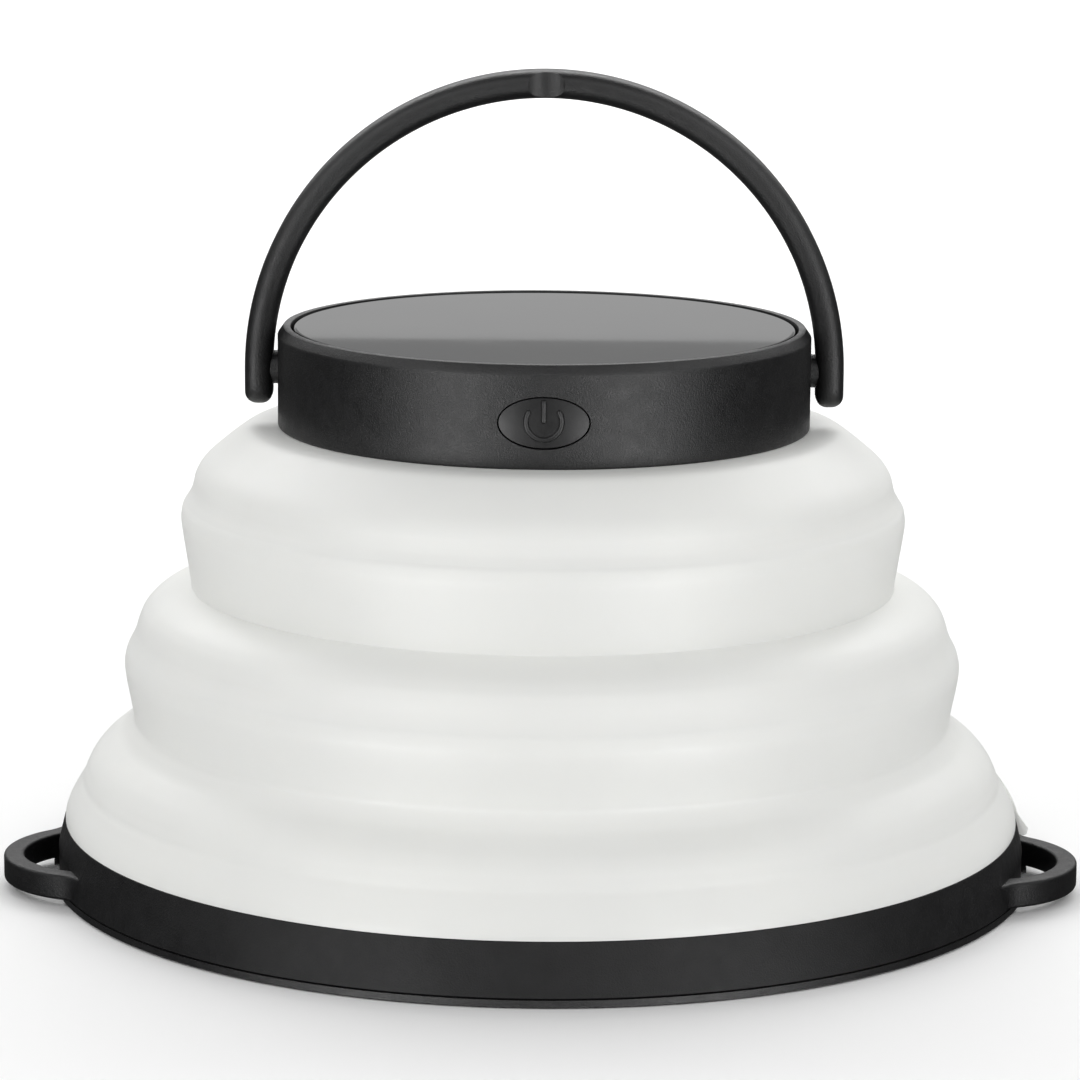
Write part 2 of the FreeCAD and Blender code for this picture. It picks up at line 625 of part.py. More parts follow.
# ------------------------------------------------------------------------ handle
def make_handle():
    """Bail with integral stub axles, standing upright."""
    middle = (HANDLE_INNER + HANDLE_OUTER) / 2
    section = Part.makeBox(HANDLE_THICK, HANDLE_WIDTH, HANDLE_LEG,
                           V(HANDLE_INNER, -HANDLE_WIDTH / 2, PIVOT_Z - HANDLE_LEG))
    upright = [edge for edge in section.Edges if abs(edge.tangentAt(0).z) > 0.9]
    leg = section.makeFillet(HANDLE_CORNER, upright)
    top = [face for face in leg.Faces if face.BoundBox.ZMin > PIVOT_Z - 0.01][0]
    arch = top.revolve(V(0, 0, PIVOT_Z), V(0, -1, 0), 180)
    round_z = PIVOT_Z - HANDLE_LEG + HANDLE_WIDTH / 2
    keep = rod(V(HANDLE_INNER - 1, 0, round_z), V(HANDLE_OUTER + 1, 0, round_z), HANDLE_WIDTH / 2)
    keep = keep.fuse(Part.makeBox(HANDLE_THICK + 2, HANDLE_WIDTH, HANDLE_LEG,
                                  V(HANDLE_INNER - 1, -HANDLE_WIDTH / 2, round_z)))
    leg = leg.common(keep)
    stub = rod(V(HANDLE_INNER - STUB_DEPTH, 0, PIVOT_Z), V(middle, 0, PIVOT_Z), STUB_RADIUS)
    side = [leg, stub]
    mirrored = [piece.mirror(V(0, 0, 0), V(1, 0, 0)) for piece in side]
    body = fuse_all([arch] + side + mirrored)
    scoop_radius = (SCOOP_WIDTH ** 2 / 4 + SCOOP_DEPTH ** 2) / (2 * SCOOP_DEPTH)
    for face in (1, -1):
        y = face * (HANDLE_WIDTH / 2 - SCOOP_DEPTH + scoop_radius)
        low = V(0, y, PIVOT_Z + HANDLE_INNER - 1)
        body = body.cut(Part.makeCylinder(scoop_radius, HANDLE_THICK + 2, low))
    save("handle", body)


# ------------------------------------------------------------------- power button
PLUNGER_TIP_Y = -CAP_INNER + FIT + BUTTON_FLANGE_THICK + PLUNGER_LENGTH
SWITCH_STEM_Y = PLUNGER_TIP_Y + BUTTON_TRAVEL + STOP_GAP
SWITCH_FACE_Y = SWITCH_STEM_Y + STEM_LENGTH
SWITCH_BOARD_Y = SWITCH_FACE_Y + SWITCH_DEPTH


def make_button():
    """Rubber button with a flange behind the wall and a plunger."""
    flange_back = PLUNGER_TIP_Y - PLUNGER_LENGTH
    face = ellipse_prism(BUTTON_WIDTH, BUTTON_HEIGHT, BUTTON_CENTRE_Z, -CAP_RADIUS, flange_back)
    face = face.common(ring(CAP_RADIUS - BUTTON_SINK, 0, CAP_Z, CAP_TOP_Z))
    flange_low = max(BUTTON_CENTRE_Z - BUTTON_HEIGHT / 2, CAP_FLOOR_Z + FIT)
    flange_high = min(BUTTON_CENTRE_Z + BUTTON_HEIGHT / 2, CAP_CEILING_Z - FIT)
    flange = block(BUTTON_WIDTH + 2 * BUTTON_FLANGE, -CAP_INNER, flange_back, flange_low, flange_high)
    flange = flange.common(ring(CAP_INNER - FIT, 0, CAP_Z, CAP_TOP_Z))
    plunger = rod(V(0, flange_back, BUTTON_CENTRE_Z), V(0, PLUNGER_TIP_Y, BUTTON_CENTRE_Z),
                  PLUNGER_RADIUS)
    save("power_button", fuse_all([face, flange, plunger]))


def make_switch():
    """Tact switch on its upright board."""
    half = SWITCH_SIZE / 2
    body = block(SWITCH_SIZE, SWITCH_FACE_Y, SWITCH_BOARD_Y,
                 BUTTON_CENTRE_Z - half, BUTTON_CENTRE_Z + half)
    stem = rod(V(0, SWITCH_STEM_Y, BUTTON_CENTRE_Z), V(0, SWITCH_FACE_Y, BUTTON_CENTRE_Z), STEM_RADIUS)
    save("tact_switch", fuse_all([body, stem]))
    save("switch_board", block(SWITCH_BOARD_WIDTH, SWITCH_BOARD_Y, SWITCH_BOARD_Y + BOARD_THICK,
                               CAP_FLOOR_Z, CAP_CEILING_Z - SWITCH_BOARD_SPARE))


# -------------------------------------------------------------------- electronics
USB_Z = CAP_FLOOR_Z + USB_LIFT
USB_CENTRE_Z = USB_Z + USB_HEIGHT / 2
MOUTH_WIDTH = USB_WIDTH + 2 * USB_MOUTH_GAP
MOUTH_HEIGHT = USB_HEIGHT + 2 * USB_MOUTH_GAP
FLAP_WIDTH = MOUTH_WIDTH + 2 * FLAP_LAP_X
FLAP_HEIGHT = MOUTH_HEIGHT + 2 * FLAP_LAP_Z
MAIN_BOARD_Z = USB_Z + USB_HEIGHT
MAIN_BOARD_TOP = MAIN_BOARD_Z + BOARD_THICK
MAIN_BOARD_BACK = CAP_INNER - MAIN_BOARD_EDGE_GAP
LED_BOARD_Z = CAP_Z - LED_BOARD_THICK
DIFFUSER_RADIUS = CAP_RADIUS - NECK_INNER - DIFFUSER_GAP
LED_BOARD_RADIUS = DIFFUSER_RADIUS - DIFFUSER_WALL - LED_BOARD_GAP
LED_SCREW_CIRCLE = LED_BOARD_RADIUS - LED_SCREW_INSET
LED_CIRCLE = LED_BOARD_RADIUS - LED_INSET
PANEL_LEAD_Y = MAIN_BOARD_FRONT + PANEL_LEAD_SET
LED_LEAD_Y = MAIN_BOARD_FRONT + LED_LEAD_SET


def board_screw_points():
    """Under-head points of the main board's screws."""
    x = MAIN_BOARD_WIDTH / 2 - PILLAR_RADIUS
    y = MAIN_BOARD_FRONT + PILLAR_RADIUS
    return [V(side * x, y, MAIN_BOARD_TOP) for side in (1, -1)]


def led_screw_points():
    """Under-head points of the LED board's screws."""
    return [p + V(0, 0, LED_BOARD_Z) for p in around(LED_SCREWS, LED_SCREW_CIRCLE, 30)]


def lead_rods(y, z_low, z_high, extra=0.0):
    """Pair of upright leads, or the holes for them."""
    return [rod(V(side * LEAD_PITCH / 2, y, z_low), V(side * LEAD_PITCH / 2, y, z_high),
                LEAD_RADIUS + extra) for side in (1, -1)]


def usb_mouth():
    """Opening in the cap wall in front of the USB socket."""
    return oval_prism(MOUTH_WIDTH, MOUTH_HEIGHT, USB_CENTRE_Z, CAP_INNER - 3, CAP_RADIUS + 1)


def flap_recess():
    """Shallow recess round the USB opening that the flap lies in."""
    z_low = USB_CENTRE_Z - FLAP_HEIGHT / 2 - FLAP_GAP
    z_high = z_low + FLAP_HEIGHT + 2 * FLAP_GAP
    floor = CAP_RADIUS - FLAP_SINK - FLAP_THICK - FLAP_FLOOR_GAP
    shell = ring(CAP_RADIUS + 1, floor, z_low, z_high)
    return shell.common(block(FLAP_WIDTH + 2 * FLAP_GAP, 0, CAP_RADIUS + 1, z_low, z_high))


def make_usb():
    """USB socket under the main board, and the rubber flap over its mouth."""
    mouth_y = CAP_RADIUS - USB_SINK
    back_y = mouth_y - USB_DEPTH
    shell = oval_prism(USB_WIDTH, USB_HEIGHT, USB_CENTRE_Z, back_y, mouth_y)
    hollow = oval_prism(USB_WIDTH - 2 * USB_WALL, USB_HEIGHT - 2 * USB_WALL, USB_CENTRE_Z,
                        back_y + USB_BACK, mouth_y)
    width, thick, set_back = USB_TONGUE
    tongue = block(width, back_y + USB_BACK, mouth_y - set_back,
                   USB_CENTRE_Z - thick / 2, USB_CENTRE_Z + thick / 2)
    save("usb_connector", fuse_all([shell.cut(hollow), tongue]))
    z_low = USB_CENTRE_Z - FLAP_HEIGHT / 2
    outer = CAP_RADIUS - FLAP_SINK
    plate = ring(outer, outer - FLAP_THICK, z_low, z_low + FLAP_HEIGHT)
    plate = plate.common(block(FLAP_WIDTH, 0, CAP_RADIUS, z_low, z_low + FLAP_HEIGHT))
    plug = oval_prism(USB_WIDTH - 2 * PLUG_CLEAR, USB_HEIGHT - 2 * PLUG_CLEAR, USB_CENTRE_Z,
                      outer - FLAP_THICK - PLUG_DEPTH, outer - FLAP_THICK / 2)
    save("usb_flap", fuse_all([plate, plug]))


def make_main_board():
    """Main board with its components, screws and leads."""
    board = block(MAIN_BOARD_WIDTH, MAIN_BOARD_FRONT, CAP_INNER, MAIN_BOARD_Z, MAIN_BOARD_TOP)
    board = board.common(ring(MAIN_BOARD_BACK, 0, MAIN_BOARD_Z, MAIN_BOARD_TOP))
    holes = [pilot(p, DOWN, BOARD_SCREW, BOARD_SCREW_LENGTH) for p in board_screw_points()]
    save("main_board", cut_all(board, holes))
    save("main_board_screws", Part.makeCompound(
        [screw(p, DOWN, BOARD_SCREW, BOARD_SCREW_LENGTH) for p in board_screw_points()]))
    # Chip, inductor, charger chip and capacitor: size x, size y, height, then the
    # centre's x and its set behind the board's front edge.
    chips = ((6.0, 6.0, 1.0, -8.0, 9.5), (5.0, 5.0, 2.6, 9.5, 9.5),
             (3.0, 3.0, 0.9, 4.2, 12.0), (2.0, 1.25, 0.9, 9.5, 4.5))
    solids = [Part.makeBox(dx, dy, dz, V(x - dx / 2, MAIN_BOARD_FRONT + back - dy / 2, MAIN_BOARD_TOP))
              for dx, dy, dz, x, back in chips]
    save("board_components", Part.makeCompound(solids))
    ceiling_leads = lead_rods(PANEL_LEAD_Y, MAIN_BOARD_TOP, SEAT_Z + GASKET_THICK)
    save("panel_leads", Part.makeCompound(ceiling_leads))
    save("led_leads", Part.makeCompound(lead_rods(LED_LEAD_Y, CAP_Z, MAIN_BOARD_Z)))


def make_battery():
    """Pouch cell on its pad, with leads to a plug on the main board."""
    pad_z = CAP_FLOOR_Z
    cell_z = pad_z + PAD_THICK
    front = BATTERY_BACK - BATTERY_WIDTH
    pad = block(BATTERY_LENGTH - 2 * PAD_MARGIN, front + PAD_MARGIN, BATTERY_BACK - PAD_MARGIN,
                pad_z, cell_z)
    save("battery_pad", pad)
    cell = block(BATTERY_LENGTH, front, BATTERY_BACK, cell_z, cell_z + BATTERY_THICK)
    cell = cell.makeFillet(BATTERY_ROUND, [e for e in cell.Edges if abs(e.tangentAt(0).x) > 0.9])
    save("battery", cell)
    plug_x, plug_y, plug_z = BATTERY_PLUG
    plug_front = MAIN_BOARD_FRONT + BATTERY_PLUG_SET
    plug = Part.makeBox(plug_x, plug_y, plug_z, V(BATTERY_PLUG_X - plug_x / 2, plug_front, MAIN_BOARD_TOP))
    save("battery_plug", plug)
    lead_z = MAIN_BOARD_TOP + LEAD_RADIUS + FIT
    leads = [rod(V(BATTERY_PLUG_X + side * LEAD_PITCH / 2, BATTERY_BACK, lead_z),
                 V(BATTERY_PLUG_X + side * LEAD_PITCH / 2, plug_front, lead_z), LEAD_RADIUS)
             for side in (1, -1)]
    save("battery_leads", Part.makeCompound(leads))


def make_light():
    """LED board under the cap base, its LEDs and screws, and the diffuser."""
    board = ring(LED_BOARD_RADIUS, 0, LED_BOARD_Z, CAP_Z)
    holes = [pilot(p, UP, BOARD_SCREW, LED_SCREW_LENGTH) for p in led_screw_points()]
    save("led_board", cut_all(board, holes))
    leds = []
    for i in range(LEDS):
        led = Part.makeBox(LED_SIZE, LED_SIZE, LED_HEIGHT,
                           V(LED_CIRCLE - LED_SIZE / 2, -LED_SIZE / 2, LED_BOARD_Z - LED_HEIGHT))
        led.rotate(V(0, 0, 0), UP, 360.0 * i / LEDS)
        leds.append(led)
    save("leds", Part.makeCompound(leds))
    save("led_board_screws", Part.makeCompound(
        [screw(p, UP, BOARD_SCREW, LED_SCREW_LENGTH) for p in led_screw_points()]))
    cup = Part.makeCylinder(DIFFUSER_RADIUS, DIFFUSER_DEPTH, V(0, 0, CAP_Z - DIFFUSER_DEPTH))
    rim = [edge for edge in cup.Edges if edge.BoundBox.ZMax < CAP_Z - DIFFUSER_DEPTH + 0.01]
    cup = cup.makeFillet(DIFFUSER_ROUND, rim)
    inner_depth = DIFFUSER_DEPTH - DIFFUSER_WALL
    hollow = Part.makeCylinder(DIFFUSER_RADIUS - DIFFUSER_WALL, inner_depth, V(0, 0, CAP_Z - inner_depth))
    rim = [edge for edge in hollow.Edges if edge.BoundBox.ZMax < CAP_Z - inner_depth + 0.01]
    hollow = hollow.makeFillet(DIFFUSER_ROUND - DIFFUSER_WALL, rim)
    save("led_diffuser", cup.cut(hollow))


make_bellows()
make_base_ring()
make_base_plate()
make_lower_clamp()
make_cap_housing()
make_cap_base()
make_neck_clamp()
make_panel()
make_handle()
make_button()
make_switch()
make_usb()
make_main_board()
make_battery()
make_light()
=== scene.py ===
"""Collapsible camping lantern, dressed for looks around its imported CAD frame.

The frame's own axes: +Z up, the power button faces -Y and the handle pivots lie
on the X axis.  Blender works in metres; the sizes held by the classes below are
millimetres, offset from places that the CAD frame gives.
"""
import json
import logging
import math
from dataclasses import dataclass
from enum import Enum

import bmesh
import bpy
from mathutils import Matrix, Vector


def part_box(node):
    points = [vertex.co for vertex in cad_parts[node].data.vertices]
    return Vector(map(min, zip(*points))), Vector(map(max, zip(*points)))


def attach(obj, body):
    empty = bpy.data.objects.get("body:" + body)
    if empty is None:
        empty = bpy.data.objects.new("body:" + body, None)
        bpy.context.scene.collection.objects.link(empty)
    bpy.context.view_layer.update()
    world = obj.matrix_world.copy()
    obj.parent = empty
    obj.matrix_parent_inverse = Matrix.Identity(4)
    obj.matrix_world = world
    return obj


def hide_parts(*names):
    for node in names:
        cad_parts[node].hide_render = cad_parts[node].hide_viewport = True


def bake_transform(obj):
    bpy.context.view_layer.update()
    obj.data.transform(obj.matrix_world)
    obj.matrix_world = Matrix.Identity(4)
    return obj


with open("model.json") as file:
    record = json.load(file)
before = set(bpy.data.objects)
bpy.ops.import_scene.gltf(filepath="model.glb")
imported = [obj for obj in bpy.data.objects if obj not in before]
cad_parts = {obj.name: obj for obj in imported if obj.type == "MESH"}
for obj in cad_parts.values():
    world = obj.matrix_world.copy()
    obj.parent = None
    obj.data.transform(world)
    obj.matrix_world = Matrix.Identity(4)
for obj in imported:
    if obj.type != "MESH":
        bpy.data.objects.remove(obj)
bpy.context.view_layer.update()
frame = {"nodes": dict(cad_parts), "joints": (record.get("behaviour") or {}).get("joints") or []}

LOG = logging.getLogger("lantern")

MM = 0.001
FULL_TURN = 2 * math.pi
HALF_TURN = math.pi
ROUND_STEPS = 176
WELD = 1e-6
RING_DRAFT = 2.1
CUT_PAST = 1.0

Piece = bpy.types.Object
Material = bpy.types.Material
Tree = bpy.types.NodeTree
Node = bpy.types.Node
Socket = bpy.types.NodeSocket
Point = tuple[float, float]
Line = list[Point]
Colour = tuple[float, float, float]
Spot = tuple[float, float, float]


# ------------------------------------------------------------------ workbench
def clear_selection() -> None:
    """Leaves object mode with nothing selected."""
    if bpy.context.object and bpy.context.object.mode != "OBJECT":
        bpy.ops.object.mode_set(mode="OBJECT")
    bpy.ops.object.select_all(action="DESELECT")


def take(piece: Piece) -> None:
    """Makes one piece the only selected and active object."""
    clear_selection()
    piece.select_set(True)
    bpy.context.view_layer.objects.active = piece


def named(name: str) -> Piece:
    """Names the object that a primitive operator has just added."""
    piece = bpy.context.object
    piece.name = name
    piece.data.name = name
    return piece


def close_shell(piece: Piece) -> Piece:
    """Merges doubled points and turns the faces outwards.

    Args:
        piece: A mesh whose faces may be doubled or turned about.
    Returns:
        The same piece, in object mode.
    """
    take(piece)
    bpy.ops.object.mode_set(mode="EDIT")
    bpy.ops.mesh.select_all(action="SELECT")
    bpy.ops.mesh.remove_doubles(threshold=WELD)
    bpy.ops.mesh.normals_make_consistent(inside=False)
    bpy.ops.object.mode_set(mode="OBJECT")
    return piece


def soften(piece: Piece, degrees: float = 32.0) -> Piece:
    """Shades a piece smooth, apart from edges sharper than an angle."""
    take(piece)
    bpy.ops.object.shade_smooth_by_angle(angle=math.radians(degrees))
    return piece


def outline(name: str, points: list[Vector], closed: bool = True) -> Piece:
    """Lays a loop of points and leaves it open in edit mode, all selected.

    Args:
        name: The new object's name.
        points: The loop's corners in millimetres, in order.
        closed: False leaves out the edge from the last corner to the first.
    Returns:
        The new object, in edit mode.
    """
    clear_selection()
    bpy.ops.mesh.primitive_circle_add(vertices=len(points), radius=MM, fill_type="NOTHING")
    piece = named(name)
    bpy.ops.object.mode_set(mode="EDIT")
    shape = bmesh.from_edit_mesh(piece.data)
    shape.verts.ensure_lookup_table()
    for vertex, point in zip(shape.verts, points):
        vertex.co = point * MM
    if not closed:
        ends = {shape.verts[0], shape.verts[-1]}
        shape.edges.remove(next(edge for edge in shape.edges if set(edge.verts) == ends))
    bmesh.update_edit_mesh(piece.data)
    bpy.ops.mesh.select_all(action="SELECT")
    return piece


def turned(name: str, line: Line, closed: bool = True, steps: int = ROUND_STEPS) -> Piece:
    """Turns a (radius, height) line once about the Z axis, as on a lathe.

    Args:
        name: The new object's name.
        line: The section, in millimetres.
        closed: True for a ring's section, False for a line from axis to axis.
        steps: Steps in the full turn.
    Returns:
        A closed shell in object mode.
    """
    piece = outline(name, [Vector((radius, 0, height)) for radius, height in line], closed)
    bpy.ops.mesh.spin(steps=steps, angle=FULL_TURN, center=(0, 0, 0), axis=(0, 0, 1))
    return close_shell(piece)


def raised(name: str, plan: Line, low: float, high: float) -> Piece:
    """Raises a plan outline to a solid between two heights.

    Args:
        name: The new object's name.
        plan: The outline in X and Y, in millimetres.
        low: Height of its underside.
        high: Height of its top.
    Returns:
        A closed shell in object mode.
    """
    piece = outline(name, [Vector((x, y, low)) for x, y in plan])
    bpy.ops.mesh.edge_face_add()
    lift = Vector((0, 0, high - low)) * MM
    bpy.ops.mesh.extrude_region_move(TRANSFORM_OT_translate={"value": lift})
    return close_shell(piece)


def rod(name: str, radius: float, foot: float, top: float, steps: int) -> Piece:
    """Makes a plain cylinder about the Z axis, in millimetres."""
    return turned(name, [(0.0, foot), (radius, foot), (radius, top), (0.0, top)], False, steps)


def joined_by(piece: Piece, tool: Piece, operation: str) -> Piece:
    """Applies a boolean with a tool, which is used up.

    Args:
        piece: The mesh that is changed.
        tool: The mesh that cuts or is added.
        operation: UNION, DIFFERENCE or INTERSECT.
    Returns:
        The changed piece.
    """
    take(piece)
    modifier = piece.modifiers.new(operation, "BOOLEAN")
    modifier.operation = operation
    modifier.object = tool
    modifier.solver = "EXACT"
    bpy.ops.object.modifier_apply(modifier=modifier.name)
    bpy.data.objects.remove(tool)
    return piece


def rounded_edges(piece: Piece, width: float, segments: int = 3, degrees: float = 40.0) -> Piece:
    """Rounds a piece's sharp edges with an applied bevel."""
    take(piece)
    modifier = piece.modifiers.new("round", "BEVEL")
    modifier.width = width * MM
    modifier.segments = segments
    modifier.limit_method = "ANGLE"
    modifier.angle_limit = math.radians(degrees)
    bpy.ops.object.modifier_apply(modifier=modifier.name)
    return piece


def laid(piece: Piece, motion: Matrix) -> Piece:
    """Moves a finished mesh, with its object left at the origin."""
    piece.data.transform(motion)
    return piece


def flowing(points: Line, steps: int) -> Line:
    """Smooth line through all the given points.

    Args:
        points: The points that the line passes through.
        steps: Divisions from one point to the next.
    Returns:
        The line's points, both ends among them.
    """
    ends = [tuple(2 * a - b for a, b in zip(points[0], points[1]))]
    far = [tuple(2 * a - b for a, b in zip(points[-1], points[-2]))]
    way = [Vector(p) for p in ends + list(points) + far]
    line: Line = []
    for before, start, end, after in zip(way, way[1:], way[2:], way[3:]):
        for step in range(steps):
            t = step / steps
            spot = 0.5 * (2 * start + (end - before) * t
                          + (2 * before - 5 * start + 4 * end - after) * t ** 2
                          + (3 * start - before - 3 * end + after) * t ** 3)
            line.append((spot.x, spot.y))
    return line + [tuple(way[-2])]


def arc(centre: Point, radius: float, start: float, end: float, steps: int) -> Line:
    """Points on an arc, between two angles in degrees."""
    angles = [math.radians(start + (end - start) * i / steps) for i in range(steps + 1)]
    return [(centre[0] + radius * math.cos(a), centre[1] + radius * math.sin(a)) for a in angles]


def oval(wide: float, tall: float, steps: int = 96) -> Line:
    """Outline of an ellipse about the origin."""
    return [(x * wide / 2, y * tall / 2) for x, y in arc((0, 0), 1, 0, 360, steps)[:-1]]


def turn(degrees: float, axis: str) -> Matrix:
    """Rotation about an axis of the frame."""
    return Matrix.Rotation(math.radians(degrees), 4, axis)


def shift(x: float, y: float, z: float) -> Matrix:
    """Translation in millimetres."""
    return Matrix.Translation(Vector((x, y, z)) * MM)


def placed(radius: float, height: float, offsets: tuple[Point, ...]) -> Line:
    """Section points, from their offsets from a radius and a height."""
    return [(radius + r, height + z) for r, z in offsets]


def swept(name: str, line: Line, start: float, angle: float, steps: int) -> Piece:
    """Turns a closed section through part of a turn about the Z axis.

    Args:
        name: The new object's name.
        line: The section's (radius, height) corners, in millimetres.
        start: Bearing where it starts, in radians.
        angle: Angle that it is turned through, in radians.
        steps: Steps in that angle.
    Returns:
        A closed shell in object mode.
    """
    piece = outline(name, [Vector((r * math.cos(start), r * math.sin(start), z)) for r, z in line])
    bpy.ops.mesh.edge_face_add()
    bpy.ops.mesh.spin(steps=steps, angle=angle, center=(0, 0, 0), axis=(0, 0, 1))
    return close_shell(piece)


def crossing(ring: float, loop: float, apart: float) -> tuple[float, float, float, float]:
    """Finds where a circle about the origin meets a smaller one on the X axis.

    Args:
        ring: Radius of the circle about the origin.
        loop: Radius of the other circle.
        apart: Distance between their centres.
    Returns:
        The place in X and Y, and its bearing in degrees from each centre.
    """
    along = (ring ** 2 - loop ** 2 + apart ** 2) / (2 * apart)
    across = math.sqrt(ring ** 2 - along ** 2)
    return (along, across, math.degrees(math.atan2(across, along)),
            math.degrees(math.atan2(across, along - apart)))


def preset(node: Node, **values: object) -> None:
    """Sets a node's inputs by name, with _ for a space."""
    for name, value in values.items():
        node.inputs[name.replace("_", " ")].default_value = value


def blank_material(name: str) -> tuple[Material, Tree]:
    """Starts a node material."""
    material = bpy.data.materials.new(name)
    material.use_nodes = True
    return material, material.node_tree


def high(node: str) -> Vector:
    """Highest corner of a CAD node, in millimetres."""
    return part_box(node)[1] / MM


def low(node: str) -> Vector:
    """Lowest corner of a CAD node, in millimetres."""
    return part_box(node)[0] / MM


def joint_place(name: str) -> Vector:
    """Place of a joint's axis in the record, in millimetres."""
    joint = next(j for j in frame["joints"] if j["name"] == name)
    return Vector(joint["pos_m"]) / MM


# -------------------------------------------------------------------- finishes
class Grain(Enum):
    """How a surface is broken up at close range."""

    SPARK = "spark-eroded tool finish"
    SATIN = "even haze of a moulded surface"
    BRUSHED = "fine lines along one axis"
    CELLS = "strips of solar cell with thin bars"
    FOAM = "open bubbles"


NOISE_ROUGH = 0.6
WEAR_SCALE = 9
FINE_SHARE = 0.45
WAVE_SCALE = 20
BRUSH_STRETCH = 0.04
CELL_BAR: Point = (0.93, 0.97)
DRIFT_SPAN: Point = (0.35, 0.65)
WEAR_SPAN: Point = (0.1, 0.6)
GLOW_COLOUR: Colour = (1.0, 0.92, 0.8)


@dataclass(frozen=True)
class Finish:
    """One material: its colours, gloss and surface grain.

    Sizes are millimetres.  The colour drifts between colour and shade over the
    drift size, and the grain gives the bump and the change of roughness.
    """

    slot: str
    colour: Colour
    shade: Colour
    drift: float
    grain: Grain
    pitch: float
    depth: float
    rough: Point
    metallic: float = 0.0
    specular: float = 0.5
    coat: float = 0.0
    coat_rough: float = 0.1
    glow: float = 0.0
    glow_reach: float = 1.0
    sheen: float = 0.0

    def build(self) -> Material:
        """Makes the node material, named after the record's slot."""
        material, tree = blank_material("finish_" + self.slot)
        shader = tree.nodes["Principled BSDF"]
        place = tree.nodes.new("ShaderNodeTexCoord").outputs["Object"]
        tint = self._noise(tree, place, self.drift, 3.0)
        wear = self._noise(tree, place, self.pitch * WEAR_SCALE, 2.0)
        height = self._grain_height(tree, place)
        self._set_colour(tree, shader, tint, height)
        self._set_roughness(tree, shader, height, wear)
        bump = tree.nodes.new("ShaderNodeBump")
        preset(bump, Strength=1.0, Distance=self.depth * MM)
        tree.links.new(height, bump.inputs["Height"])
        tree.links.new(bump.outputs["Normal"], shader.inputs["Normal"])
        preset(shader, Metallic=self.metallic, Specular_IOR_Level=self.specular,
               Coat_Weight=self.coat, Coat_Roughness=self.coat_rough, Sheen_Weight=self.sheen,
               Subsurface_Weight=self.glow, Subsurface_Radius=GLOW_COLOUR,
               Subsurface_Scale=self.glow_reach * MM)
        return material

    def _noise(self, tree: Tree, place: Socket, size: float,
               detail: float) -> Socket:
        """Adds cloudy noise of a size in millimetres and returns its value."""
        noise = tree.nodes.new("ShaderNodeTexNoise")
        preset(noise, Scale=1 / (size * MM), Detail=detail, Roughness=NOISE_ROUGH)
        tree.links.new(place, noise.inputs["Vector"])
        return noise.outputs["Fac"]

    def _spread(self, tree: Tree, value: Socket, source: Point,
                target: Point = (0.0, 1.0)) -> Socket:
        """Maps a value from one range to another and returns the result."""
        ramp = tree.nodes.new("ShaderNodeMapRange")
        preset(ramp, From_Min=source[0], From_Max=source[1], To_Min=target[0], To_Max=target[1])
        tree.links.new(value, ramp.inputs["Value"])
        return ramp.outputs["Result"]

    def _both(self, tree: Tree, operation: str, first: Socket,
              second: Socket) -> Socket:
        """Combines two values by arithmetic and returns the result."""
        both = tree.nodes.new("ShaderNodeMath")
        both.operation = operation
        tree.links.new(first, both.inputs[0])
        tree.links.new(second, both.inputs[1])
        return both.outputs["Value"]

    def _grain_height(self, tree: Tree,
                      place: Socket) -> Socket:
        """Adds the grain's own pattern.

        Args:
            tree: The material's nodes.
            place: Object coordinates.
        Returns:
            The grain's height, from 0 to 1.
        """
        if self.grain is Grain.BRUSHED:
            stretch = tree.nodes.new("ShaderNodeMapping")
            preset(stretch, Scale=(BRUSH_STRETCH, 1.0, 1.0))
            tree.links.new(place, stretch.inputs["Vector"])
            return self._noise(tree, stretch.outputs["Vector"], self.pitch, 4.0)
        if self.grain is Grain.CELLS:
            strips = tree.nodes.new("ShaderNodeTexWave")
            strips.bands_direction = "X"
            strips.wave_profile = "TRI"
            preset(strips, Scale=1 / (self.pitch * MM) / WAVE_SCALE, Distortion=0.0)
            tree.links.new(place, strips.inputs["Vector"])
            return self._spread(tree, strips.outputs["Fac"], CELL_BAR)
        if self.grain in (Grain.SPARK, Grain.FOAM):
            pits = tree.nodes.new("ShaderNodeTexVoronoi")
            pits.feature = "SMOOTH_F1" if self.grain is Grain.SPARK else "F1"
            preset(pits, Scale=1 / (self.pitch * MM))
            tree.links.new(place, pits.inputs["Vector"])
            fine = self._noise(tree, place, self.pitch * FINE_SHARE, 3.0)
            return self._both(tree, "ADD", pits.outputs["Distance"], fine)
        return self._noise(tree, place, self.pitch, 5.0)

    def _set_colour(self, tree: Tree, shader: Node,
                    tint: Socket, height: Socket) -> None:
        """Drifts the base colour from one colour to the other."""
        source = height if self.grain is Grain.CELLS else tint
        share = self._spread(tree, source, DRIFT_SPAN)
        mix = tree.nodes.new("ShaderNodeMix")
        mix.data_type = "RGBA"
        mix.inputs["A"].default_value = (*self.colour, 1)
        mix.inputs["B"].default_value = (*self.shade, 1)
        tree.links.new(share, mix.inputs["Factor"])
        tree.links.new(mix.outputs["Result"], shader.inputs["Base Color"])

    def _set_roughness(self, tree: Tree, shader: Node,
                       height: Socket, wear: Socket) -> None:
        """Spreads the roughness over its range, by grain and by wear."""
        blend = self._both(tree, "MULTIPLY", height, wear)
        tree.links.new(self._spread(tree, blend, WEAR_SPAN, self.rough), shader.inputs["Roughness"])


